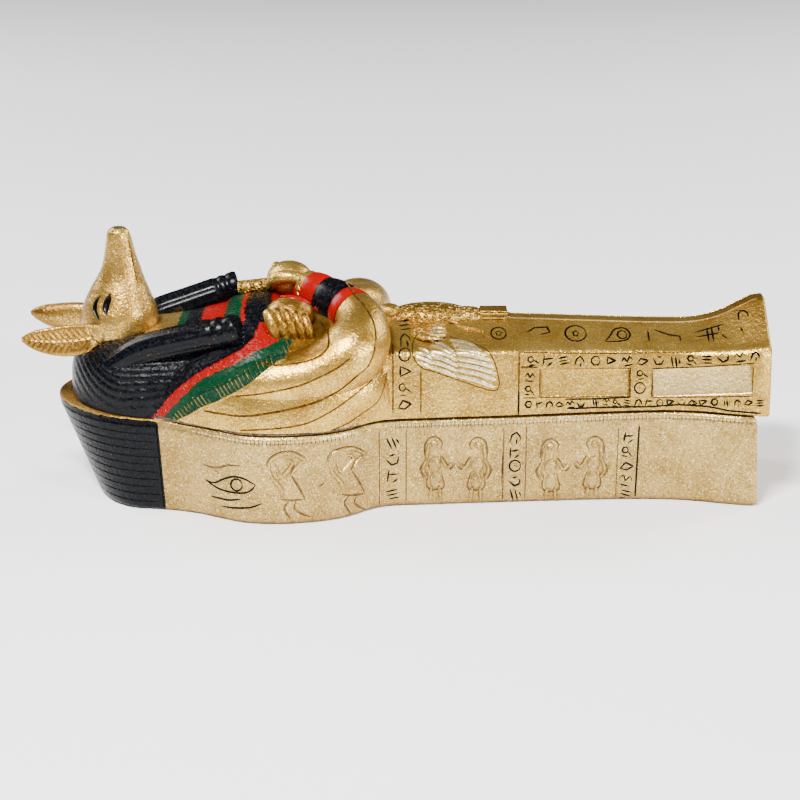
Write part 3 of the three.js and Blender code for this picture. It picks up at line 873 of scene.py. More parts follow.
# %% [markdown]
# The jackal's head stands upright, nose at the top. A table gives its section at each height: the middle
# in X, half the depth and half the width. The ears lie back over the wig like long leaves. The two lappets
# of the wig are fluted cylinders that end in turned rings on the chest.

# %% Head, ears and lappets
head_table = np.array([(34, -67, 9.2, 8.4), (39, -67, 9.7, 9), (42.9, -67.05, 9.6, 8.9),
                       (45.5, -66.9, 9.1, 8.5), (47.7, -66.8, 8.3, 7.7), (50.5, -66.5, 7.05, 6.4),
                       (53.3, -66.1, 5.65, 5.0), (55.8, -65.85, 4.6, 4.1), (59.4, -66, 3.7, 3.3),
                       (63, -66.1, 3, 2.8), (65, -66.15, 2.5, 2.4), (65.8, -66.1, 1.6, 1.5)])


def head_shell():
    """Upright ellipse rings from the neck to the nose, with brows, cheeks and a pinched muzzle."""
    z = np.r_[np.linspace(34, 64.6, 56), 64.6 + 1.2 * np.sin(np.linspace(0, np.pi / 2, 8)[1:])][:, None]
    middle, depth, width = (through(*zip(head_table[:, 0], head_table[:, k]))(z) for k in (1, 2, 3))
    a = np.linspace(0, 2 * np.pi, 76, endpoint=False)[None]
    turn = np.cos(a)
    socket = 0.55 * bell(z, 48.2, 2.6) * bell(np.abs(np.sin(a)), 0.93, 0.16) * bell(turn, -0.25, 0.33)
    cheek = 0.35 * bell(z, 46.5, 4.0) * bell(turn, 0.55, 0.35)
    bridge = 0.30 * bell(z, 54, 4.5) * bell(turn, -1, 0.30)
    jaw = 0.22 * smooth(z, 52, 56) * (1 - smooth(z, 63, 65)) * bell(turn, 0.80, 0.22)
    size = 1 + (cheek + bridge + jaw - socket) / depth
    return np.stack([middle + depth * size * np.cos(a), width * size * np.sin(a), z + 0 * a], -1)


def ear_shell(side):
    """A leaf of thin rings along its length. Its outer side has a midrib, and ribs slanting to the edge."""
    t = np.linspace(0, 1, 80)[:, None]
    wide = through((0, 2.4), (0.2, 3.5), (0.5, 3.9), (0.8, 2.8), (0.94, 1.5), (1, 0.5))(t)
    x = -69 + (-90 - side + 69) * t
    y = 7.4 + 3.6 * t ** 0.6
    z = 41 - 0.1 * t - 0.9 * np.sin(np.pi * t)
    thick = np.minimum(1.9, 0.75 * wide)
    a = np.linspace(0, 2 * np.pi, 52, endpoint=False)[None]
    outer = np.where(np.cos(a) > 0, 0.55, 1.0)
    across = np.sin(a)
    shown = smooth(np.cos(a), 0.05, 0.4) * smooth(t, 0.12, 0.2) * (1 - smooth(t, 0.9, 0.97))
    ribs = np.sin(2 * np.pi * (t * 21 / 1.5 - np.abs(across) * wide / 1.9))
    inside = smooth(np.abs(across), 0.08, 0.16) * (1 - smooth(np.abs(across), 0.78, 0.86))
    dish = 0.55 * (1 - across ** 2) * shown
    lift = shown * (0.24 * ribs * inside + 0.38 * bell(across, 0, 0.07)) - dish
    y_out = side * (y + (thick * outer + lift) * np.cos(a))
    return np.stack([x + 0 * a, y_out, z + wide * across], -1)


def lappet_shell(side):
    """A fluted cylinder along a bent path, with two turned rings and a flat disc at the chest end."""
    end_x = -37.3 - side * 1.4
    lift, near = (1.3, 0.94) if side == FAR else (0.0, 1.0)
    rings = limb_rings([(-67, side * 12 * near, 34.4 + lift), (-60, side * 13.2 * near, 38.7 + lift),
                        (-51, side * 14.9 * near, 41.7 + lift), (end_x, side * 17 * near, 45.5 + lift)],
                       [3.3, 3.75, 3.75, 3.75], 100, 60)
    centre = rings.mean(1, keepdims=True)
    a = np.linspace(0, 2 * np.pi, 60, endpoint=False)[None]
    t = np.linspace(0, 1, 100)[:, None]
    flute = -0.18 * np.abs(np.cos(6 * a)) ** 8 * (1 - smooth(t, 0.84, 0.86))
    band = -0.28 * (bell(t, 0.873, 0.013) + bell(t, 0.93, 0.013)) - 0.45 * smooth(t, 0.985, 1.0)
    return centre + (rings - centre) * (1 + (flute + band) / 3.75)[..., None]


parts = [legs, solid("head", head_shell(), SHADED_HEAD_GILT)]
for side in (NEAR, FAR):
    parts.append(solid("ear", ear_shell(side), SHADED_HEAD_GILT))
    parts.append(solid("lappet", lappet_shell(side), BLACK_PAINT))
print("parts so far", len(parts))

# %% [markdown]
# Both arms are folded, and the near one lies on top. It wears a bracelet of one black band between two red
# ones. Each fist is a ball with a pad and five finger rolls, and the far one holds a short rod. A small
# bird sits behind the arms, on top of the legs.

# %% Arms, bracelet and fists
def arm_points(side, wrist, lift):
    """Elbow path of a folded arm, from the shoulder round the elbow to the wrist."""
    return [(-46, side * 17, 31), (-32, side * 20.7, 33), (-19, side * 20.4, 35), (-9.3, side * 17.6, 39.8),
            (-7.2, side * 10.5, 43.4 + lift), (-11.5, side * 3.5, 45.8 + lift), wrist]


ARM_RADII = [4, 6.3, 6.8, 7.9, 6.4, 5.2, 4.5]


def fist_parts(centre, side, turn, spacing, lean):
    """A closed hand: a rounded back, a pad below, and five finger rolls side by side down its front."""
    x, y, z = centre
    made = [solid("hand", ball(centre, (5.8, 5.2, 4.4), turn), LID_GILT),
            solid("pad", ball((x, y + side * 3.6, z - 2.6), (4.6, 3.4, 2.9), turn), LID_GILT)]
    for i in range(5):
        reach = (i - 2) * spacing
        drop = 0.16 * (i - 2) ** 2 + 0.25 * i
        root_x, root_y = x + reach * math.cos(turn), reach * math.sin(turn)
        path = [(root_x + dx * lean, y + side * (2.0 + out) + root_y, z + up - drop)
                for dx, out, up in ((-1.3, 0.6, 1.9), (-0.6, 2.4, 2.0), (0.6, 4.1, -0.7), (1.6, 4.0, -4.2))]
        radii = np.array([0.8, 1.35, 1.4, 0.9]) * (1.05 - 0.06 * i)
        made.append(solid("finger", limb_rings(path, radii, 15, 14), LID_GILT))
    return made


parts.append(solid("arm", limb_rings(arm_points(FAR, (-18, -4, 44.5), -1), ARM_RADII, 48, 40), ROBE_PAINT))
upper_arm = limb_rings(arm_points(NEAR, (-22, 5.5, 49.4), 1), ARM_RADII, 180, 40)
parts.append(solid("arm", upper_arm[::3], ROBE_PAINT))


def sleeve_band(first, last, thicker, material):
    """A band round the upper wrist: a stretch of the arm's own rings, thicker, rounded at both ends."""
    rings = upper_arm[first:last]
    middle = rings.mean(1, keepdims=True)
    t = np.linspace(0, 1, last - first)[:, None, None]
    swell = thicker * np.sin(np.pi * np.clip(t, 0.04, 0.96)) ** 0.4
    radius = np.linalg.norm(rings - middle, axis=2, keepdims=True)
    return solid("band", middle + (rings - middle) * (1 + swell / radius), material)


parts += [sleeve_band(138, 150, 0.45, RED_PAINT), sleeve_band(149, 165, 0.62, BLACK_PAINT),
          sleeve_band(164, 174, 0.45, RED_PAINT)]
parts += fist_parts((-24.4, -9, 46.6), NEAR, 0.12, 2.1, 1.0)
parts += fist_parts((-25.4, 7.8, 50.8), FAR, -0.3, 1.7, 0.4)
thumb = limb_rings([(-30.2, 5.6, 49.4), (-28.6, 4.0, 51.6), (-25.2, 3.2, 52.4), (-21.6, 3.4, 51.4)],
                   [1.3, 1.7, 1.7, 1.3], 40, 28)
parts.append(solid("thumb", thumb, LID_GILT))
handle = limb_rings([(-22, 8.2, 49.6), (-30, 8.8, 48.6), (-38.2, 9.8, 47.6)], [2.2, 2.1, 1.9], 30, 24)
parts.append(solid("handle", handle, HANDLE_GILT))


def bird_parts():
    """A perched bird seen from above: beaded body, head towards the chest, square ribbed tail."""
    reach = np.linspace(0, 6.6, 8)[:, None]
    a = np.linspace(0, 2 * np.pi, 64, endpoint=False)[None]
    round_y, round_z = power(np.cos(a), 0.35), power(np.sin(a), 0.35)
    rib = 1 + 0.05 * np.cos(2 * np.pi * 3.0 * round_z)
    rings = np.stack([21.6 + reach + 0 * a, (2.6 + 0.03 * reach) * rib * round_y,
                      43.6 + 1.9 * round_z + 0 * reach], -1)
    made = [solid("bird", ball((9.5, 0, 43.6), (10.5, 5, 3.2), rows=28, sides=40), BEAD_GILT),
            solid("bird head", ball((-0.6, 0, 44.6), (3, 2.3, 2)), LID_GILT),
            solid("rump", ball((18.5, 0, 43.4), (5, 3.4, 2.4)), BEAD_GILT),
            solid("tail", rings, LID_GILT)]
    for side in (NEAR, FAR):
        made.append(solid("shoulder", ball((9.0, side * 6.4, 41.2), (4.7, 5.2, 1.35)), BEAD_GILT))
    return made


parts += bird_parts()
print("parts in all", len(parts))

# %% [markdown]
# The lid sits over the hollow of the base on a low lip. The lip is a plug a little smaller than the
# hollow, joined on below, and the inside cut then leaves only its edge.

# %% Join and hollow the lid
roof = through((-72, 33), (-66, 35.5), (-54, 36.5), (-40, 39.5), (-30, 40), (-12, 39.8), (-4, 37.5),
               (2, 36), (40, 35.4), (80, 35.4), (84, 35.6))


def plug_shell():
    """The lip before it is hollowed: the body outline moved in by wall and play, two millimetres deep."""
    play = 0.4
    flat = outline(HEAD_X + HEAD_WALL + play, WALL + play, FOOT_X - WALL - play)
    rings = [(0.985, -2.2), (1, -1.8), (1, 0.0), (1, 0.9)]
    return np.array([np.column_stack([flat * size, rim(flat[:, 0]) + level]) for size, level in rings])


def cavity_shell():
    """The inside of the lid: superellipse rings, from below the lip up to an inner roof."""
    b = np.linspace(0.08, np.pi / 2, 30, endpoint=False)
    x = np.r_[PLAN_X - 14.4 * np.cos(b), np.arange(PLAN_X, 82.8, 1.5), 82.8][:, None]
    half = np.r_[14.2 * np.sin(b), body_half(x[len(b):, 0]) - 5.2][:, None]
    a = np.linspace(0, 2 * np.pi, 96, endpoint=False)[None]
    centre, tall = (roof(x) + 10) / 2, (roof(x) - 10) / 2
    return np.stack([x + 0 * a, half * power(np.cos(a), 0.62), centre + tall * power(np.sin(a), 0.62)], -1)


lid = combine(robe, parts + [solid("plug", plug_shell(), BASE_GILT)], "UNION")
print("joined lid", len(lid.data.polygons), "faces")
lid = combine(lid, [solid("cavity", cavity_shell(), BASE_GILT)], "DIFFERENCE")
print("hollow lid", len(lid.data.polygons), "faces")

# %% [markdown]
# ## Carving
# Both long sides are drawn on a plane that leans back 20 degrees, so one drawing can run over the upright
# side and the slope above it. A drawing is a list of (x, v) points, v being the height up that plane.
# The inscriptions are rows of small made-up strokes that spell nothing. Each row draws its own random
# numbers from a seed of its own, so every run gives the same strokes.

# %% Leaning drawings
LEAN = math.radians(20)
INK_WIDTH, INK_DEPTH = 0.25, 0.26


def leaning(path, side):
    """Stands (x, v) points on the leaning plane of one side, with the direction they are thrown along."""
    up = np.array([0, -side * math.sin(LEAN), math.cos(LEAN)])
    way = (0.0, -side * math.cos(LEAN), -math.sin(LEAN))
    return [np.array([x, 0, 0]) + v * up for x, v in path], way


class Drawing:
    """Strokes gathered for one solid: cuts are grooves, ridges are raised lines."""

    def __init__(self, piece):
        self.piece, self.surface = piece, Surface(piece)
        self.cuts, self.ridges = [], []

    def line(self, side, path, half_width, depth, material, raised=False, curved=False, **more):
        """One stroke of a leaning drawing."""
        points, way = leaning(path, side)
        target = self.ridges if raised else self.cuts
        target += traced(self.surface, points, half_width, depth, material, way, curved, **more)

    def follow(self, points, half_width, depth, material, raised=False, curved=True, **more):
        """One stroke through places given in space, each moved to the nearest place on the surface."""
        target = self.ridges if raised else self.cuts
        target += traced(self.surface, points, half_width, depth, material, None, curved, **more)

    def tell(self, stage):
        """Prints how many strokes wait to be made."""
        print(stage, len(self.ridges), "ridges", len(self.cuts), "cuts")

    def make(self):
        """Joins the ridges, then cuts the grooves."""
        if self.ridges:
            combine(self.piece, self.ridges, "UNION")
        if self.cuts:
            combine(self.piece, self.cuts, "DIFFERENCE")
        self.tell(self.piece.name)
        print(self.piece.name, len(self.piece.data.polygons), "faces")


def ring_path(x, v, radius, tall=1.0):
    """A closed circle or oval of points."""
    a = np.linspace(0.2, 0.2 + 2 * np.pi, 17)
    return list(zip(x + radius * np.cos(a), v + radius * tall * np.sin(a)))


# Motifs in a unit square: each is a few strokes.
MOTIFS = [
    [[(-0.5, 0.1), (-0.25, 0.4), (0.0, 0.0), (0.25, 0.4), (0.5, 0.1)], [(-0.4, -0.35), (0.4, -0.35)]],
    [[(-0.45, 0.3), (0.4, 0.3)], [(-0.45, 0.0), (0.35, 0.0)], [(-0.4, -0.3), (0.45, -0.3)]],
    [ring_path(0, 0.05, 0.42), [(-0.08, 0.05), (0.1, 0.05)]],
    [[(-0.4, -0.4), (-0.3, 0.2), (0.0, 0.42), (0.3, 0.15), (0.36, -0.1)], [(0.1, -0.45), (0.1, -0.05)]],
    [[(-0.42, 0.35), (0.42, 0.1), (-0.35, -0.3)], [(-0.42, 0.35), (-0.35, -0.3)]],
    [[(-0.45, 0.15), (-0.1, -0.3), (0.3, -0.2), (0.45, 0.2)], [(-0.15, 0.35), (0.2, 0.4)]],
    [[(-0.35, 0.4), (-0.35, -0.4)], [(-0.35, 0.1), (0.35, 0.25)], [(0.05, -0.4), (0.35, -0.1)]],
    [ring_path(-0.15, 0.1, 0.25), [(0.1, 0.0), (0.48, -0.35)], [(-0.4, -0.4), (0.1, -0.42)]],
    [[(-0.3, 0.42), (-0.12, -0.4)], [(0.05, 0.4), (0.2, -0.42)], [(0.35, 0.2), (0.45, -0.1)]],
    [[(-0.48, -0.2), (-0.1, 0.25), (0.48, 0.0), (0.0, -0.3), (-0.48, -0.2)]],
]


def inscription(drawing, side, start, end, size, seed, squash_x=1.0, spread=1.16):
    """A row or column of motifs from start to end, each moved, turned and sized a little by draws."""
    draw = np.random.default_rng(seed)
    start, end = np.array(start, float), np.array(end, float)
    reach = np.linalg.norm(end - start)
    count = max(1, int(round(reach / (size * spread))))
    order = np.concatenate([draw.permutation(len(MOTIFS)) for _ in range(count // len(MOTIFS) + 1)])
    for k in range(count):
        middle = start + (end - start) * (k + 0.5) / count + draw.uniform(-0.06, 0.06, 2) * size
        turn = draw.uniform(-0.25, 0.25)
        scale = size * draw.uniform(0.95, 1.12)
        spin = np.array([(math.cos(turn), math.sin(turn)), (-math.sin(turn), math.cos(turn))])
        for stroke in MOTIFS[order[k]]:
            points = (np.array(stroke) * [squash_x, 1] * scale) @ spin + middle
            curved = len(stroke) > 5
            width = INK_WIDTH * draw.uniform(0.75, 1.25)
            drawing.line(side, points, width, INK_DEPTH, INK_PAINT, curved=curved, taper=0.35, step=0.85)


# %% [markdown]
# ## Carving the base
# From the head end: black wig with level strands, a painted eye, two raised-arm mourners in faint relief,
# then columns of strokes between pairs of attendants. The figures are plain human outlines. The far side
# repeats the columns and the eye and leaves the figures out.

# %% Base carving
base_art = Drawing(base)


def wig_strands(drawing):
    """Level strands round the head end, each at a share of the rim's height, and the wig's painted edge."""
    a = np.linspace(0, np.pi, 40)
    for k, share in enumerate(np.linspace(0.1, 0.93, 11)):
        x = PLAN_X - (PLAN_X - head_at(share * RIM_Z)) * np.sin(a)
        y = -HEAD_HALF * np.cos(a)
        reach = 2.2 + 0.9 * math.sin(2.3 * k)
        x = np.r_[PLAN_X + reach, x, PLAN_X + reach]
        y = np.r_[y[0] - 0.3, y, y[-1] + 0.3]
        path = np.column_stack([x, y, share * rim(x)])
        drawing.follow(path, 0.20, 0.26, BLACK_PAINT, step=1.2)
    for side in (NEAR, FAR):
        edge = [(-56.3, side * 20, 22.6), (-55.8, side * 20, 12), (-55.2, side * 19.6, 1.2)]
        drawing.follow(edge, 0.32, 0.34, BLACK_PAINT, step=1.0)


def painted_eye(drawing, side):
    """A brow, an almond with an iris, and strokes below."""
    lines = [[(-44.8, 1.0), (-42.5, 0.3), (-40.3, 1.2), (-37.6, 1.9), (-35.0, 1.4), (-32.3, -0.1)],
             [(-44.8, 1.0), (-41.6, -1.0), (-38.3, -1.9), (-35.0, -2.0), (-33.3, -1.3), (-32.3, -0.1)],
             [(-43.3, -3.0), (-39.3, -3.8), (-36.1, -3.6)],
             [(-40.8, -5.4), (-37.6, -5.7), (-33.6, -5.5), (-31.0, -4.6)],
             ring_path(-36.9, -0.1, 1.45)]
    for path in lines:
        drawing.line(side, path, 0.28, 0.28, INK_PAINT, curved=True, taper=0.35)
    brow = [(-45.8, 5.1), (-43.6, 4.2), (-41.3, 4.0), (-39.0, 4.6), (-35.6, 4.5)]
    drawing.line(side, brow, 0.30, 0.28, BASE_GROOVE_SHADE, curved=True, taper=0.8)
    drawing.line(side, [(-42.3, 3.3), (-41.4, 3.1), (-41.6, 2.4)], 0.2, 0.22, BASE_GROOVE_SHADE, taper=0.4)


def moved(path, x, v, facing=1):
    """A path in a figure's own (x, v) points, moved to its place, and mirrored if facing is -1."""
    return [(x + facing * px, v + pv) for px, pv in path]


def mourner(drawing, side, x, v):
    """A kneeling figure with both arms raised: raised outline lines and shallow grooves beside them."""
    raised = [[(-4.4, 1.5), (-3.9, 3.6), (-2.0, 4.9), (0.6, 5.4), (2.6, 4.7), (3.9, 3.8)],
              [(3.9, 3.8), (2.1, 2.1), (0.8, 0.1)],
              [(-2.7, 2.4), (-1.8, -0.2), (-0.2, 0.9), (1.2, 3.2), (-0.2, 3.9)],
              [(-4.3, 1.7), (-3.7, -0.4), (-1.5, -3.3), (-1.7, -5.6)]]
    sunk = [[(0.8, 0.1), (2.4, -2.6), (3.9, -5.6)],
            [(-1.7, -5.7), (0.8, -6.0), (3.9, -5.7)],
            [(0.1, -6.2), (-1.0, -7.9), (0.6, -10.8)],
            [(1.8, -6.4), (1.4, -8.0), (3.2, -9.3), (5.2, -10.0)]]
    for path in raised:
        drawing.line(side, moved(path, x, v), 0.60, 0.60, BASE_GILT, True, True, taper=0.5)
    for path in sunk:
        drawing.line(side, moved(path, x, v), 0.30, 0.28, BASE_GROOVE_SHADE, False, True, taper=0.5)
    halo = [(x + px * 1.13, v + (pv + 0.4)) for px, pv in raised[0]]
    drawing.line(side, halo, 0.24, 0.22, BASE_GROOVE_SHADE, curved=True, taper=0.6)


def attendant(drawing, side, x, v, facing=1):
    """A standing figure in a long wig and kilt, one arm forward: soft raised masses with incised edges."""
    masses = [([(-0.3, 3.2), (0.1, 4.4)], 0.95), ([(-1.5, 3.6), (-1.9, 1.2), (-1.7, 0.2)], 0.55),
              ([(0.0, 0.4), (0.0, -2.8)], 1.55), ([(0.1, -3.2), (0.3, -6.6)], 1.45),
              ([(1.6, 0.6), (3.1, -1.8), (4.4, -0.6)], 0.5),
              ([(-1.7, 0.5), (-2.8, -2.0), (-1.9, -4.2)], 0.5),
              ([(-0.8, -6.8), (-1.0, -10.0)], 0.55), ([(1.2, -6.8), (1.6, -10.0)], 0.55)]
    edges = [[(-2.1, 0.2), (-2.5, 2.6), (-1.7, 4.9), (0.1, 5.7), (1.5, 4.8), (1.9, 3.7), (1.2, 2.6)],
             [(-1.9, -0.2), (-3.5, -2.2), (-2.5, -4.6)], [(1.9, 0.9), (3.6, -2.2), (5.0, -1.0)],
             [(-1.6, -3.0), (-1.7, -6.9), (2.2, -6.9), (1.6, -3.0)]]
    for path, width in masses:
        place = moved(path, x, v, facing)
        drawing.line(side, place, width, 0.62, BASE_GILT, True, True, taper=0.25, sides=10)
    for path in edges:
        place = moved(path, x, v, facing)
        drawing.line(side, place, 0.26, 0.26, BASE_GROOVE_SHADE, curved=True, taper=0.5)


wig_strands(base_art)
for side in (NEAR, FAR):
    painted_eye(base_art, side)
    for x, top, half_width in ((-3.0, 13.0, 0.12), (3.5, 13.0, 0.14), (27.2, 13.4, 0.14),
                               (32.7, 13.9, 0.14), (55.2, 13.4, 0.12)):
        base_art.line(side, [(x, top), (x, -5.6)], half_width, 0.22, BASE_GROOVE_SHADE)
    base_art.line(side, [(60.2, 14.0), (60.0, -5.4)], 0.24, 0.26, INK_PAINT)
    base_art.line(side, [(27.0, 7.6), (26.9, -0.5)], 0.14, 0.2, INK_PAINT, taper=0.5)
    inscription(base_art, side, (0.3, 12.0), (0.3, -5.2), 3.3, 11)
    inscription(base_art, side, (30.0, 12.8), (30.0, -5.2), 3.1, 23)
    inscription(base_art, side, (57.6, 12.8), (57.6, -5.0), 3.0, 37)
# Under the rim: a raised band in pale gold as painted highlight on the bevel, crossed by fine ticks with
# painted shade.
for side in (NEAR, FAR):
    for first, last in ((-47.5, -8.0), (0.0, 88.0)):
        edge_x = np.linspace(first, last, 40)
        edge = np.column_stack([edge_x, side * (body_half(edge_x) + 0.1), rim(edge_x) - 0.75])
        base_art.follow(edge, 0.6, 0.14, HIGHLIGHT_GILT, raised=True, step=1.4, taper=0.3)
        for x in np.arange(first + 1, last - 1, 0.95):
            z = float(rim(x)) - 0.5
            y = side * (float(body_half(x)) + 0.1)
            tick = [(x, y, z), (x + 0.04, y, z - 1.3)]
            base_art.follow(tick, 0.10, 0.28, BASE_GROOVE_SHADE, curved=False, step=0.5, sides=4)
for x, v in ((-24.6, 2.2), (-10.4, 3.2)):
    mourner(base_art, NEAR, x, v)
for x, v, facing in ((10.4, 5.6, 1), (20.8, 5.4, -1), (38.8, 5.0, 1), (49.4, 5.6, -1)):
    attendant(base_art, NEAR, x, v, facing)
base_art.line(NEAR, [(-17.3, -0.6), (-15.9, 0.4)], 0.14, 0.18, INK_PAINT, taper=0.4)
base_art.make()
clean(base)

# %% [markdown]
# ## Carving the lid
# The arms of the robe are edged by long grooves. They are filled with deep gold as painted shade. The
# collar's cord and the edge of the wig stand proud.

# %% Robe lines
lid_art = Drawing(lid)
robe_lines = [
    (0.24, [(-36.7, -25.6, 31.7), (-29.5, -27.3, 33.1), (-20.6, -27.1, 35.2), (-13.1, -26.5, 38.7),
            (-9.6, -25.7, 41.1)]),
    (0.28, [(-44.4, -23.2, 27.1), (-35.8, -27.2, 27.3), (-29.6, -27.9, 28.1), (-20.7, -27.0, 29.7),
            (-14.7, -25.3, 31.6), (-8.5, -25.4, 36.4), (-5.5, -24.2, 38.9), (-3.9, -20.6, 44.9),
            (-5.6, -15.1, 49.1), (-8.8, -8.6, 51.1), (-11.6, -1.1, 51.9)]),
    (0.22, [(-35.6, -27.6, 23.9), (-21.5, -27.9, 25.3), (-14.5, -26.0, 27.9), (-8.6, -23.3, 31.4),
            (-4.6, -20.0, 34.0), (-3.2, -20.9, 37.0)]),
    (0.20, [(-14.5, -26.2, 23.1), (-8.7, -23.1, 25.0), (-4.0, -20.5, 27.9), (-1.8, -18.5, 31.4),
            (-1.1, -16.6, 34.6)])]
hollow_line = [(-30.5, -23.0, 38.6), (-26.8, -24.8, 38.9), (-19.2, -24.8, 40.1), (-15.3, -24.3, 42.4),
               (-14.6, -21.5, 44.7), (-15.6, -14.5, 45.6), (-17.0, -9.5, 44.6)]
for side in (NEAR, FAR):
    flip = np.array([1, -side, 1])
    for half_width, path in robe_lines:
        lid_art.follow(np.array(path) * flip, half_width, half_width * 1.15, GROOVE_SHADE_GILT, step=0.6)
    lid_art.follow(np.array(hollow_line) * flip, 0.3, 0.36, GROOVE_SHADE_GILT, step=0.6)
    way = (0, -side, 0)
    cord_x = np.linspace(-51.6, -25.0, 24)
    level = np.zeros(24)
    cord = np.column_stack([cord_x, level, collar_lines[3](cord_x)])
    lid_art.ridges += traced(lid_art.surface, cord, 0.30, 0.36, LID_GILT, way, True)
    middle_z = 0.52 * collar_lines[2](cord_x) + 0.48 * collar_lines[3](cord_x)
    middle = np.column_stack([cord_x, level, middle_z])
    lid_art.ridges += traced(lid_art.surface, middle[2:-2], 0.18, 0.26, GREEN_PAINT, way, True, taper=0.5)
    wig_line = [(-54.4, side * 19.5, 29.1), (-53.1, side * 19.3, 32), (-50.7, side * 18.3, 35.4),
                (-48.4, side * 17.7, 37.3), (-44.7, side * 17.8, 39), (-40.7, side * 18.1, 40.5),
                (-37.0, side * 19.1, 41.2)]
    lid_art.follow(wig_line, 0.2, 0.26, BLACK_PAINT, raised=True, step=0.7, taper=0.4)
    # Painted shade along the joint: a dark groove round the lid's lower edge.
    seam_x = np.linspace(-57, 88, 80)
    seam = np.column_stack([seam_x, side * (body_half(seam_x) + 0.2), rim(seam_x) + JOINT_GAP])
    lid_art.follow(seam, 0.75, 0.5, JOINT_SHADE_GILT, step=1.8)
lid_art.tell("robe")

# %% [markdown]
# The face has painted eyes between two thin lids, painted brows, a dark nose, a mouth line, nostrils and
# two creases on the neck. There are a few ink marks on the wig below it, and a red cuff by the near fist.

# %% Face
for side in (NEAR, FAR):
    flip = np.array([1, -side, 1])
    eye = np.array([(-68.0, -6.2, 51.0), (-68.7, -7.1, 49.4), (-69.1, -7.4, 48.0),
                    (-68.9, -8.1, 46.2)]) * flip
    lid_art.follow(eye, 1.0, 0.34, INK_PAINT, step=0.4, taper=0.95, sides=10)
    for shift, width in ((1.15, 0.26), (-1.0, 0.24)):
        lid_art.follow(eye + [shift, 0, 0.1], width, 0.3, SHADED_HEAD_GILT, raised=True, step=0.5, taper=0.6)
    brow = np.array([(-70.5, -5.7, 50.3), (-71.7, -5.9, 48.6), (-71.7, -6.6, 46.6),
                     (-70.5, -7.9, 44.6)]) * flip
    lid_art.follow(brow, 0.66, 0.28, INK_PAINT, step=0.4, taper=0.85, sides=8)
    mouth = np.array([(-63.7, -1.4, 63.6), (-63.1, -1.9, 60.5), (-62.6, -2.4, 57), (-62.1, -2.9, 54),
                      (-61.8, -3.1, 52)]) * flip
    lid_art.follow(mouth, 0.16, 0.22, GROOVE_SHADE_GILT, step=0.6, taper=0.5)
    nostril = np.array([(-67.2, -1.3, 65.0), (-66.9, -1.7, 64.6)]) * flip
    lid_art.follow(nostril, 0.22, 0.2, GROOVE_SHADE_GILT, curved=False, step=0.3)
    for path in ([(-72.5, -8.6, 41.2), (-70.4, -9.2, 38.8), (-69.6, -9.3, 36.6)],
                 [(-74.3, -10.2, 38.9), (-72.1, -10.0, 37.4), (-70.6, -9.8, 35.8)]):
        lid_art.follow(np.array(path) * flip, 0.24, 0.3, GROOVE_SHADE_GILT, step=0.5, taper=0.4)
    for x, v in ((-70.2, 31.4), (-69.3, 30.4), (-71.2, 29.6)):
        lid_art.line(side, [(x, v), (x + 0.5, v - 0.6)], 0.3, 0.2, INK_PAINT, taper=0.5)

lid_art.follow([(-66.7, 0, 65.8), (-65.5, 0, 65.8)], 1.0, 0.14, NOSE_PAINT, curved=False, step=0.4,
               sides=12)
cuff = [(-28.6, 44.3), (-26.0, 44.9), (-22.6, 44.5), (-19.8, 43.3), (-18.0, 41.8)]
lid_art.line(NEAR, cuff, 1.0, 0.5, RED_PAINT, raised=True, curved=True, taper=0.4, sides=10)
lid_art.tell("face")

# %% [markdown]
# The bird's open wing lies down each side of the legs: three rows of long feathers inside an incised
# outline, short shoulder feathers above them, and a raised arch that runs back to a small ring. The
# feathers are pale gold as painted highlight.

# %% Wing
def feather_row(drawing, side, roots, tips, count, half_width):
    """Long raised feathers side by side, each from the line of roots to the line of tips."""
    root_line = resampled(roots, 0.2, True)
    tip_line = resampled(tips, 0.2, True)
    for share in np.linspace(0, 1, count):
        root = root_line[int(share * (len(root_line) - 1))]
        tip = tip_line[int(share * (len(tip_line) - 1))]
        middle = (root + tip) / 2 + [0.15, 0.25]
        drawing.line(side, [root, middle, tip], half_width, 0.42, WING_HIGHLIGHT_GILT, True, True, taper=0.3,
                     sides=8, step=0.6)


for side in (NEAR, FAR):
    outline_path = [(7.0, 36.6), (5.3, 34.6), (5.0, 31.5), (5.8, 29.2), (7.4, 27.7), (9.8, 27.0),
                    (16.0, 24.9), (25.0, 22.4), (25.3, 27.2), (23.4, 31.4), (20.6, 33.4), (14.1, 35.4)]
    lid_art.line(side, outline_path, 0.16, 0.26, GROOVE_SHADE_GILT, curved=True, step=0.6)
    feather_row(lid_art, side, [(14.2, 34.6), (16.0, 30.6), (15.6, 26.0)],
                [(20.2, 33.0), (23.6, 29.6), (24.8, 25.6), (24.6, 23.2)], 8, 0.62)
    feather_row(lid_art, side, [(9.6, 34.4), (9.6, 31.2), (9.0, 28.0)],
                [(14.6, 31.8), (15.6, 29.0), (15.2, 25.8)], 6, 0.58)
    feather_row(lid_art, side, [(6.6, 32.6), (6.0, 30.8), (6.4, 29.0)],
                [(9.2, 31.0), (9.6, 29.2), (9.2, 27.8)], 4, 0.5)
    for k in range(5):
        short_feather = [(9.0 + 0.25 * k, 35.0 + 0.85 * k), (12.9, 34.6 + 0.95 * k)]
        lid_art.line(side, short_feather, 0.30, 0.42, WING_HIGHLIGHT_GILT, True, taper=0.4)
    arch = [(12.6, 39.8), (14.4, 39.4), (17.5, 38.0), (21.8, 37.0), (24.0, 35.1)]
    lid_art.line(side, arch, 0.42, 0.5, LID_GILT, True, True, taper=0.2)
    lid_art.line(side, ring_path(25.9, 36.3, 1.9, 0.8), 0.2, 0.3, INK_PAINT, curved=True)
    lid_art.line(side, ring_path(25.9, 36.3, 0.75, 0.8), 0.16, 0.25, INK_PAINT, curved=True)
lid_art.tell("wing")

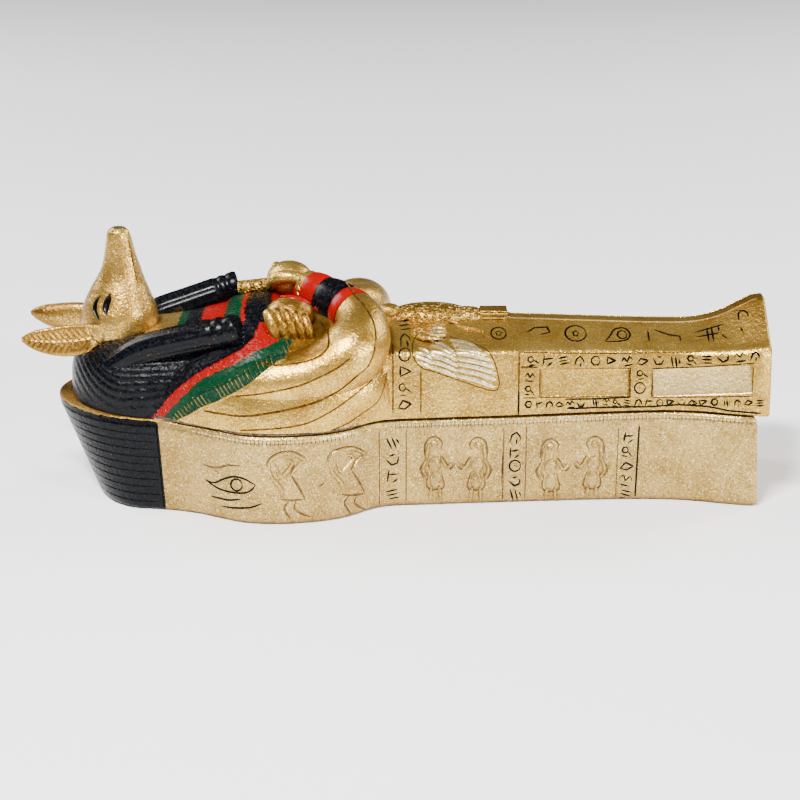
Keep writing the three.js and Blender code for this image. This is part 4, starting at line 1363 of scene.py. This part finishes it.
# %% [markdown]
# The rest of each leg side carries two sunk panels with incised borders, rows and columns of strokes
# round them, and a line of larger signs on the slope. Tables hold the paths, so the loop below makes both
# sides alike. The raised strip along the top gets two thin rails of pale gold as painted highlight. The
# second panel's floor is painted in the same pale gold as painted highlight.

# %% Panels, frames and inscriptions
# Low x, high x, half height and what the floor of the panel is painted with.
# The second panel's floor is pale gold as painted highlight.
panels = [(35.7, 57.6, 3.45, LID_GILT), (62.9, 86.4, 3.5, HIGHLIGHT_GILT)]
# Half width and path.
gold_lines = [
    (0.20, [(30.6, 31.6), (30.6, 22.4)]),
    (0.20, [(0.3, 33.5), (0.3, 17.0)]),
    (0.18, [(7.0, 27.4), (7.0, 16.6)]),
    (0.16, [(30.7, 31.5), (52, 31.3), (74, 31.6)]),
    (0.18, [(31.0, 27.9), (34.8, 27.9)]),
    (0.18, [(31.6, 20.6), (35.0, 20.6)])]
ink_lines = [
    (0.22, [(57.5, 27.2), (57.6, 20.8), (50, 20.4), (42, 20.3)]),
    (0.26, [(30.6, 22.4), (30.6, 16.6)]),
    (0.20, [(63.0, 27.0), (62.9, 21.2), (66, 20.8)]),
    (0.24,
     [(42.9, 18.0), (50.0, 18.3), (62.6, 18.5), (69.7, 19.0), (76.7, 18.5), (81.3, 17.5), (88.6, 16.9)]),
    (0.16, [(31.2, 28.1), (35.2, 28.0)]),
    (0.14, [(62.9, 27.7), (75, 28.1), (86.6, 28.9)])]
# Start, end, size, seed, squash in x, spread.
inscriptions = [
    ((32.0, 29.5), (70.0, 29.4), 2.6, 5, 1.0, 1.4),
    ((70.6, 29.6), (88.6, 30.5), 2.6, 12, 1.0, 1.3),
    ((31.8, 18.9), (47.0, 19.0), 2.0, 6, 1.0, 1.35),
    ((48.0, 19.5), (89.6, 19.4), 1.9, 7, 1.0, 1.4),
    ((33.3, 27.0), (33.3, 21.1), 2.5, 8, 1.0, 1.16),
    ((60.2, 28.0), (60.2, 21.0), 2.9, 9, 1.0, 1.16),
    ((3.3, 40.2), (3.2, 17.2), 3.5, 10, 0.85, 1.16)]
# Whether the sign is a smooth curve, and its path.
signs = [
    (False, [(32.9, 36.6), (34.7, 37.7), (37.8, 37.9), (38.4, 36.6), (36.0, 36.0)]),
    (True, ring_path(44.7, 36.3, 2.6, 0.75)),
    (True, ring_path(44.7, 36.3, 0.7)),
    (True,
     [(51.6, 34.2), (53.1, 35.8), (54.2, 37.3), (56.6, 37.7), (58.0, 36.2), (56.6, 34.6), (51.6, 34.2)]),
    (True, ring_path(56.0, 36.0, 1.2, 0.85)),
    (False, [(62.4, 37.0), (62.4, 34.4)]),
    (False, [(63.9, 37.3), (67.3, 36.0), (70.0, 35.6), (70.0, 34.4)]),
    (False, [(73.7, 36.5), (80.8, 38.6)]),
    (False, [(74.0, 35.4), (79.9, 36.5)]),
    (False, [(76.7, 37.6), (76.7, 34.3)]),
    (False, [(77.8, 37.9), (77.8, 34.4)]),
    (False, [(79.4, 38.0), (79.4, 36.9)]),
    (False, [(79.8, 36.0), (81.0, 35.0)]),
    (True, [(84.2, 39.6), (84.5, 41.5), (86.0, 41.8), (86.5, 40.5)]),
    (False, [(84.3, 37.7), (84.8, 36.5)])]
lozenge = [(77.4, 26.8), (76.8, 25.6), (77.3, 24.7), (77.9, 25.6), (77.4, 26.8)]
for side in (NEAR, FAR):
    for low, high, tall, material in panels:
        middle = [(low + 0.45, 24.1), (high - 0.45, 24.3 + 0.02 * (high - 57))]
        lid_art.line(side, middle, tall, 0.75, material, step=2.5, sides=24, square=0.3)
        border = [(low, 20.7), (high, 21.0), (high, 27.8), (low, 27.4), (low, 20.7)]
        lid_art.line(side, border, 0.15, 0.3, GROOVE_SHADE_GILT, step=1.2)
    for width, path in gold_lines:
        lid_art.line(side, path, width, 0.24, GROOVE_SHADE_GILT, step=1.0)
    for width, path in ink_lines:
        lid_art.line(side, path, width, 0.28, INK_PAINT, step=1.0)
    for row in inscriptions:
        inscription(lid_art, side, *row)
    lid_art.line(side, lozenge, 0.12, 0.16, GROOVE_SHADE_GILT)
    for curved, path in signs:
        lid_art.line(side, path, 0.26, 0.32, INK_PAINT, curved=curved, taper=0.4)
for side in (NEAR, FAR):
    rail = [(26, side * 2.1, 44), (46, side * 2.1, 43.2), (64, side * 2.1, 42.7), (74, side * 2.1, 42.9),
            (80.5, side * 2.1, 44.6), (85.5, side * 2.1, 47.2), (89, side * 2.1, 48.9)]
    lid_art.follow(rail, 0.16, 0.2, HIGHLIGHT_GILT, raised=True, step=1.0)
    for v in (39.7, 40.6, 41.5):
        lid_art.line(side, [(21.9, v), (28.0, v)], 0.2, 0.26, GROOVE_SHADE_GILT)
for x in (36, 47, 58, 66, 73, 84):
    v = 41.0 + 0.02 * (x - 36)
    lid_art.line(NEAR, [(x, v), (x + 0.8, v)], 0.16, 0.16, INK_PAINT)
lid_art.make()
clean(lid)

# %% [markdown]
# ## Finishing the meshes
# The attributes that the materials read are measured on the finished castings: the wig on the base, the
# collar rows on the lid, and on both how much painted shade the deep colour gives. Faces are shaded smooth
# except across sharp edges. Each casting hides its CAD node and is attached to the root body.

# %% Attributes, shading and ties
def positions(piece):
    """Vertex positions in millimetres as an array."""
    flat = np.empty(len(piece.data.vertices) * 3)
    piece.data.vertices.foreach_get("co", flat)
    return flat.reshape(-1, 3) / MM


def write_attribute(piece, name, values):
    """Stores one float per vertex."""
    layer = piece.data.attributes.new(name, "FLOAT", "POINT")
    layer.data.foreach_set("value", np.ascontiguousarray(values, np.float32))


def painted_shade_share(p):
    """How much painted shade the deep colour gives: round the fists, inside the ears and on top of the
    legs.
    """
    x, y, z = p.T
    total = np.zeros(len(p))
    for side in (NEAR, FAR):
        from_fist = np.sqrt(((x + 21.5) / 1.1) ** 2 + (y - side * 16) ** 2 + (z - 43) ** 2)
        shoulder = smooth(x, -31, -27) * (1 - smooth(x, -15.2, -14.0))
        total += 0.95 * (1 - smooth(from_fist, 8.5, 11.5)) * shoulder * smooth(side * y, 5.5, 9)
        ear = (1 - smooth(x, -74, -72)) * smooth(side * y, 8, 9) * (1 - smooth(z, 44.5, 45.5))
        total += 0.7 * ear * smooth(z, 36, 37.5)
    # Painted shade on the up-facing tops of the legs and of the arms.
    slope = smooth(z, 38.7, 39.4) * smooth(x, -2, 2) + smooth(z, 43, 46) * smooth(x, -14, -8)
    return np.clip(total + 0.38 * slope, 0, 1)


def wig_distance(p):
    """Positive on the outer wall ahead of the wig line: the least of three distances in millimetres."""
    x, y, z = p.T
    ahead = -(0.055 * z + 55.0) - x
    below = rim(x) - 0.35 - z
    turn = np.hypot((x - PLAN_X) / np.maximum(PLAN_X - head_at(z), 1), y / HEAD_HALF)
    outer = np.where(x < PLAN_X, turn, np.abs(y) / body_half(x))
    return np.minimum(np.minimum(ahead, below), (outer - 0.93) * 12)


where = positions(base)
x, y, z = where.T
write_attribute(base, "wig", wig_distance(where))
# Painted shade on the base: on the rim ledge beside the lid, and darker towards the wig at the head end.
ledge = smooth(z - rim(x), -0.8, -0.2) * (1 - smooth(x, -56, -50))
shade_toward_wig = 0.32 * (1 - smooth(x, -56, -42))
write_attribute(base, "hollow", np.maximum(0.95 * ledge, shade_toward_wig))
where = positions(lid)
x, y, z = where.T
write_attribute(lid, "hollow", painted_shade_share(where))
write_attribute(lid, "row", collar_row(x, z))
write_attribute(lid, "along", 0.80 * x + 0.60 * z)

SHARP_ANGLE = math.radians(38)
for piece, node, finish in ((base, "coffin_base", "base_gilt"), (lid, "coffin_lid", "lid_gilt")):
    piece.data.shade_smooth()
    piece.data.set_sharp_from_angle(angle=SHARP_ANGLE)
    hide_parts(node)
    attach(piece, "root")
    triangles = sum(len(face.vertices) - 2 for face in piece.data.polygons)
    print(piece.name, triangles, "triangles", [material.name for material in piece.data.materials])

# %% [markdown]
# ## Studio
# A pale floor, one soft light high in front on the left, a weaker one on the right, and two behind that
# brighten the floor. The upright sides mirror the floor in front of them, so the floor's brightness and
# the gold's own colour set how they look. The camera looks along +Y from 20 degrees above.

# %% Floor, lights, camera
def flat_panel(name, size, location, material):
    """A square floor panel."""
    verts = np.array([(-1, -1, 0), (1, -1, 0), (1, 1, 0), (-1, 1, 0)], float) * size / 2 + location
    mesh = bpy.data.meshes.new(name)
    mesh.from_pydata([tuple(v * MM) for v in verts], [], [(0, 1, 2, 3)])
    mesh.materials.append(material)
    piece = bpy.data.objects.new(name, mesh)
    bpy.context.scene.collection.objects.link(piece)
    return piece


def soft_light(name, location, target, size, watts):
    """A rectangular area light aimed at a point."""
    data = bpy.data.lights.new(name, "AREA")
    data.shape = "RECTANGLE"
    data.size, data.size_y = size[0] * MM, size[1] * MM
    data.energy = watts
    lamp = bpy.data.objects.new(name, data)
    lamp.location = Vector(location) * MM
    lamp.rotation_euler = (Vector(target) - Vector(location)).to_track_quat("-Z", "Y").to_euler()
    bpy.context.scene.collection.objects.link(lamp)
    return lamp


floor_material, _, floor_shader = new_material("floor")
floor_shader.inputs["Base Color"].default_value = (0.93, 0.93, 0.93, 1)
floor_shader.inputs["Roughness"].default_value = 0.9
flat_panel("floor", 6000, (0, 0, -0.02), floor_material)

CENTRE = (2, 0, 25)
soft_light("key", (-150, -330, 540), CENTRE, (180, 90), 11.0)
soft_light("right", (460, -420, 260), CENTRE, (160, 130), 4.5)
soft_light("floor left", (-700, 420, 500), (-200, 500, 0), (500, 500), 9.5)
soft_light("floor right", (700, 420, 500), (200, 500, 0), (500, 500), 9.5)

# The room is bright round the horizon and dim overhead, so that slopes facing up stay dark. It is
# brighter from one side than from the other.
world = bpy.data.worlds.new("studio")
world.use_nodes = True
room = world.node_tree
incoming = add(room, "ShaderNodeNewGeometry").outputs["Incoming"]
from_x, _, from_z = add(room, "ShaderNodeSeparateXYZ", Vector=incoming).outputs
height = remap(room, maths(room, "ABSOLUTE", from_z), 0.15, 0.80, 0.95, 0.06)
across = remap(room, from_x, -0.5, 0.85, 1.20, 0.35)
room.links.new(maths(room, "MULTIPLY", height, across), room.nodes["Background"].inputs[1])
bpy.context.scene.world = world

DISTANCE, TILT = 450.0, math.radians(20)
TARGET = np.array([2.0, 0.0, 21.4])
camera_data = bpy.data.cameras.new("camera")
camera_data.lens = 81.0
camera_data.sensor_width = 36.0
camera_data.clip_start, camera_data.clip_end = 0.01, 20
camera = bpy.data.objects.new("camera", camera_data)
eye = TARGET + DISTANCE * np.array([0, -math.cos(TILT), math.sin(TILT)])
camera.location = Vector(eye * MM)
camera.rotation_euler = (Vector(TARGET) - Vector(eye)).to_track_quat("-Z", "Y").to_euler()
bpy.context.scene.collection.objects.link(camera)
bpy.context.scene.camera = camera
print("camera", [round(v, 3) for v in camera.location], "lens", camera_data.lens)

# %% Update the view layer
bpy.context.view_layer.update()
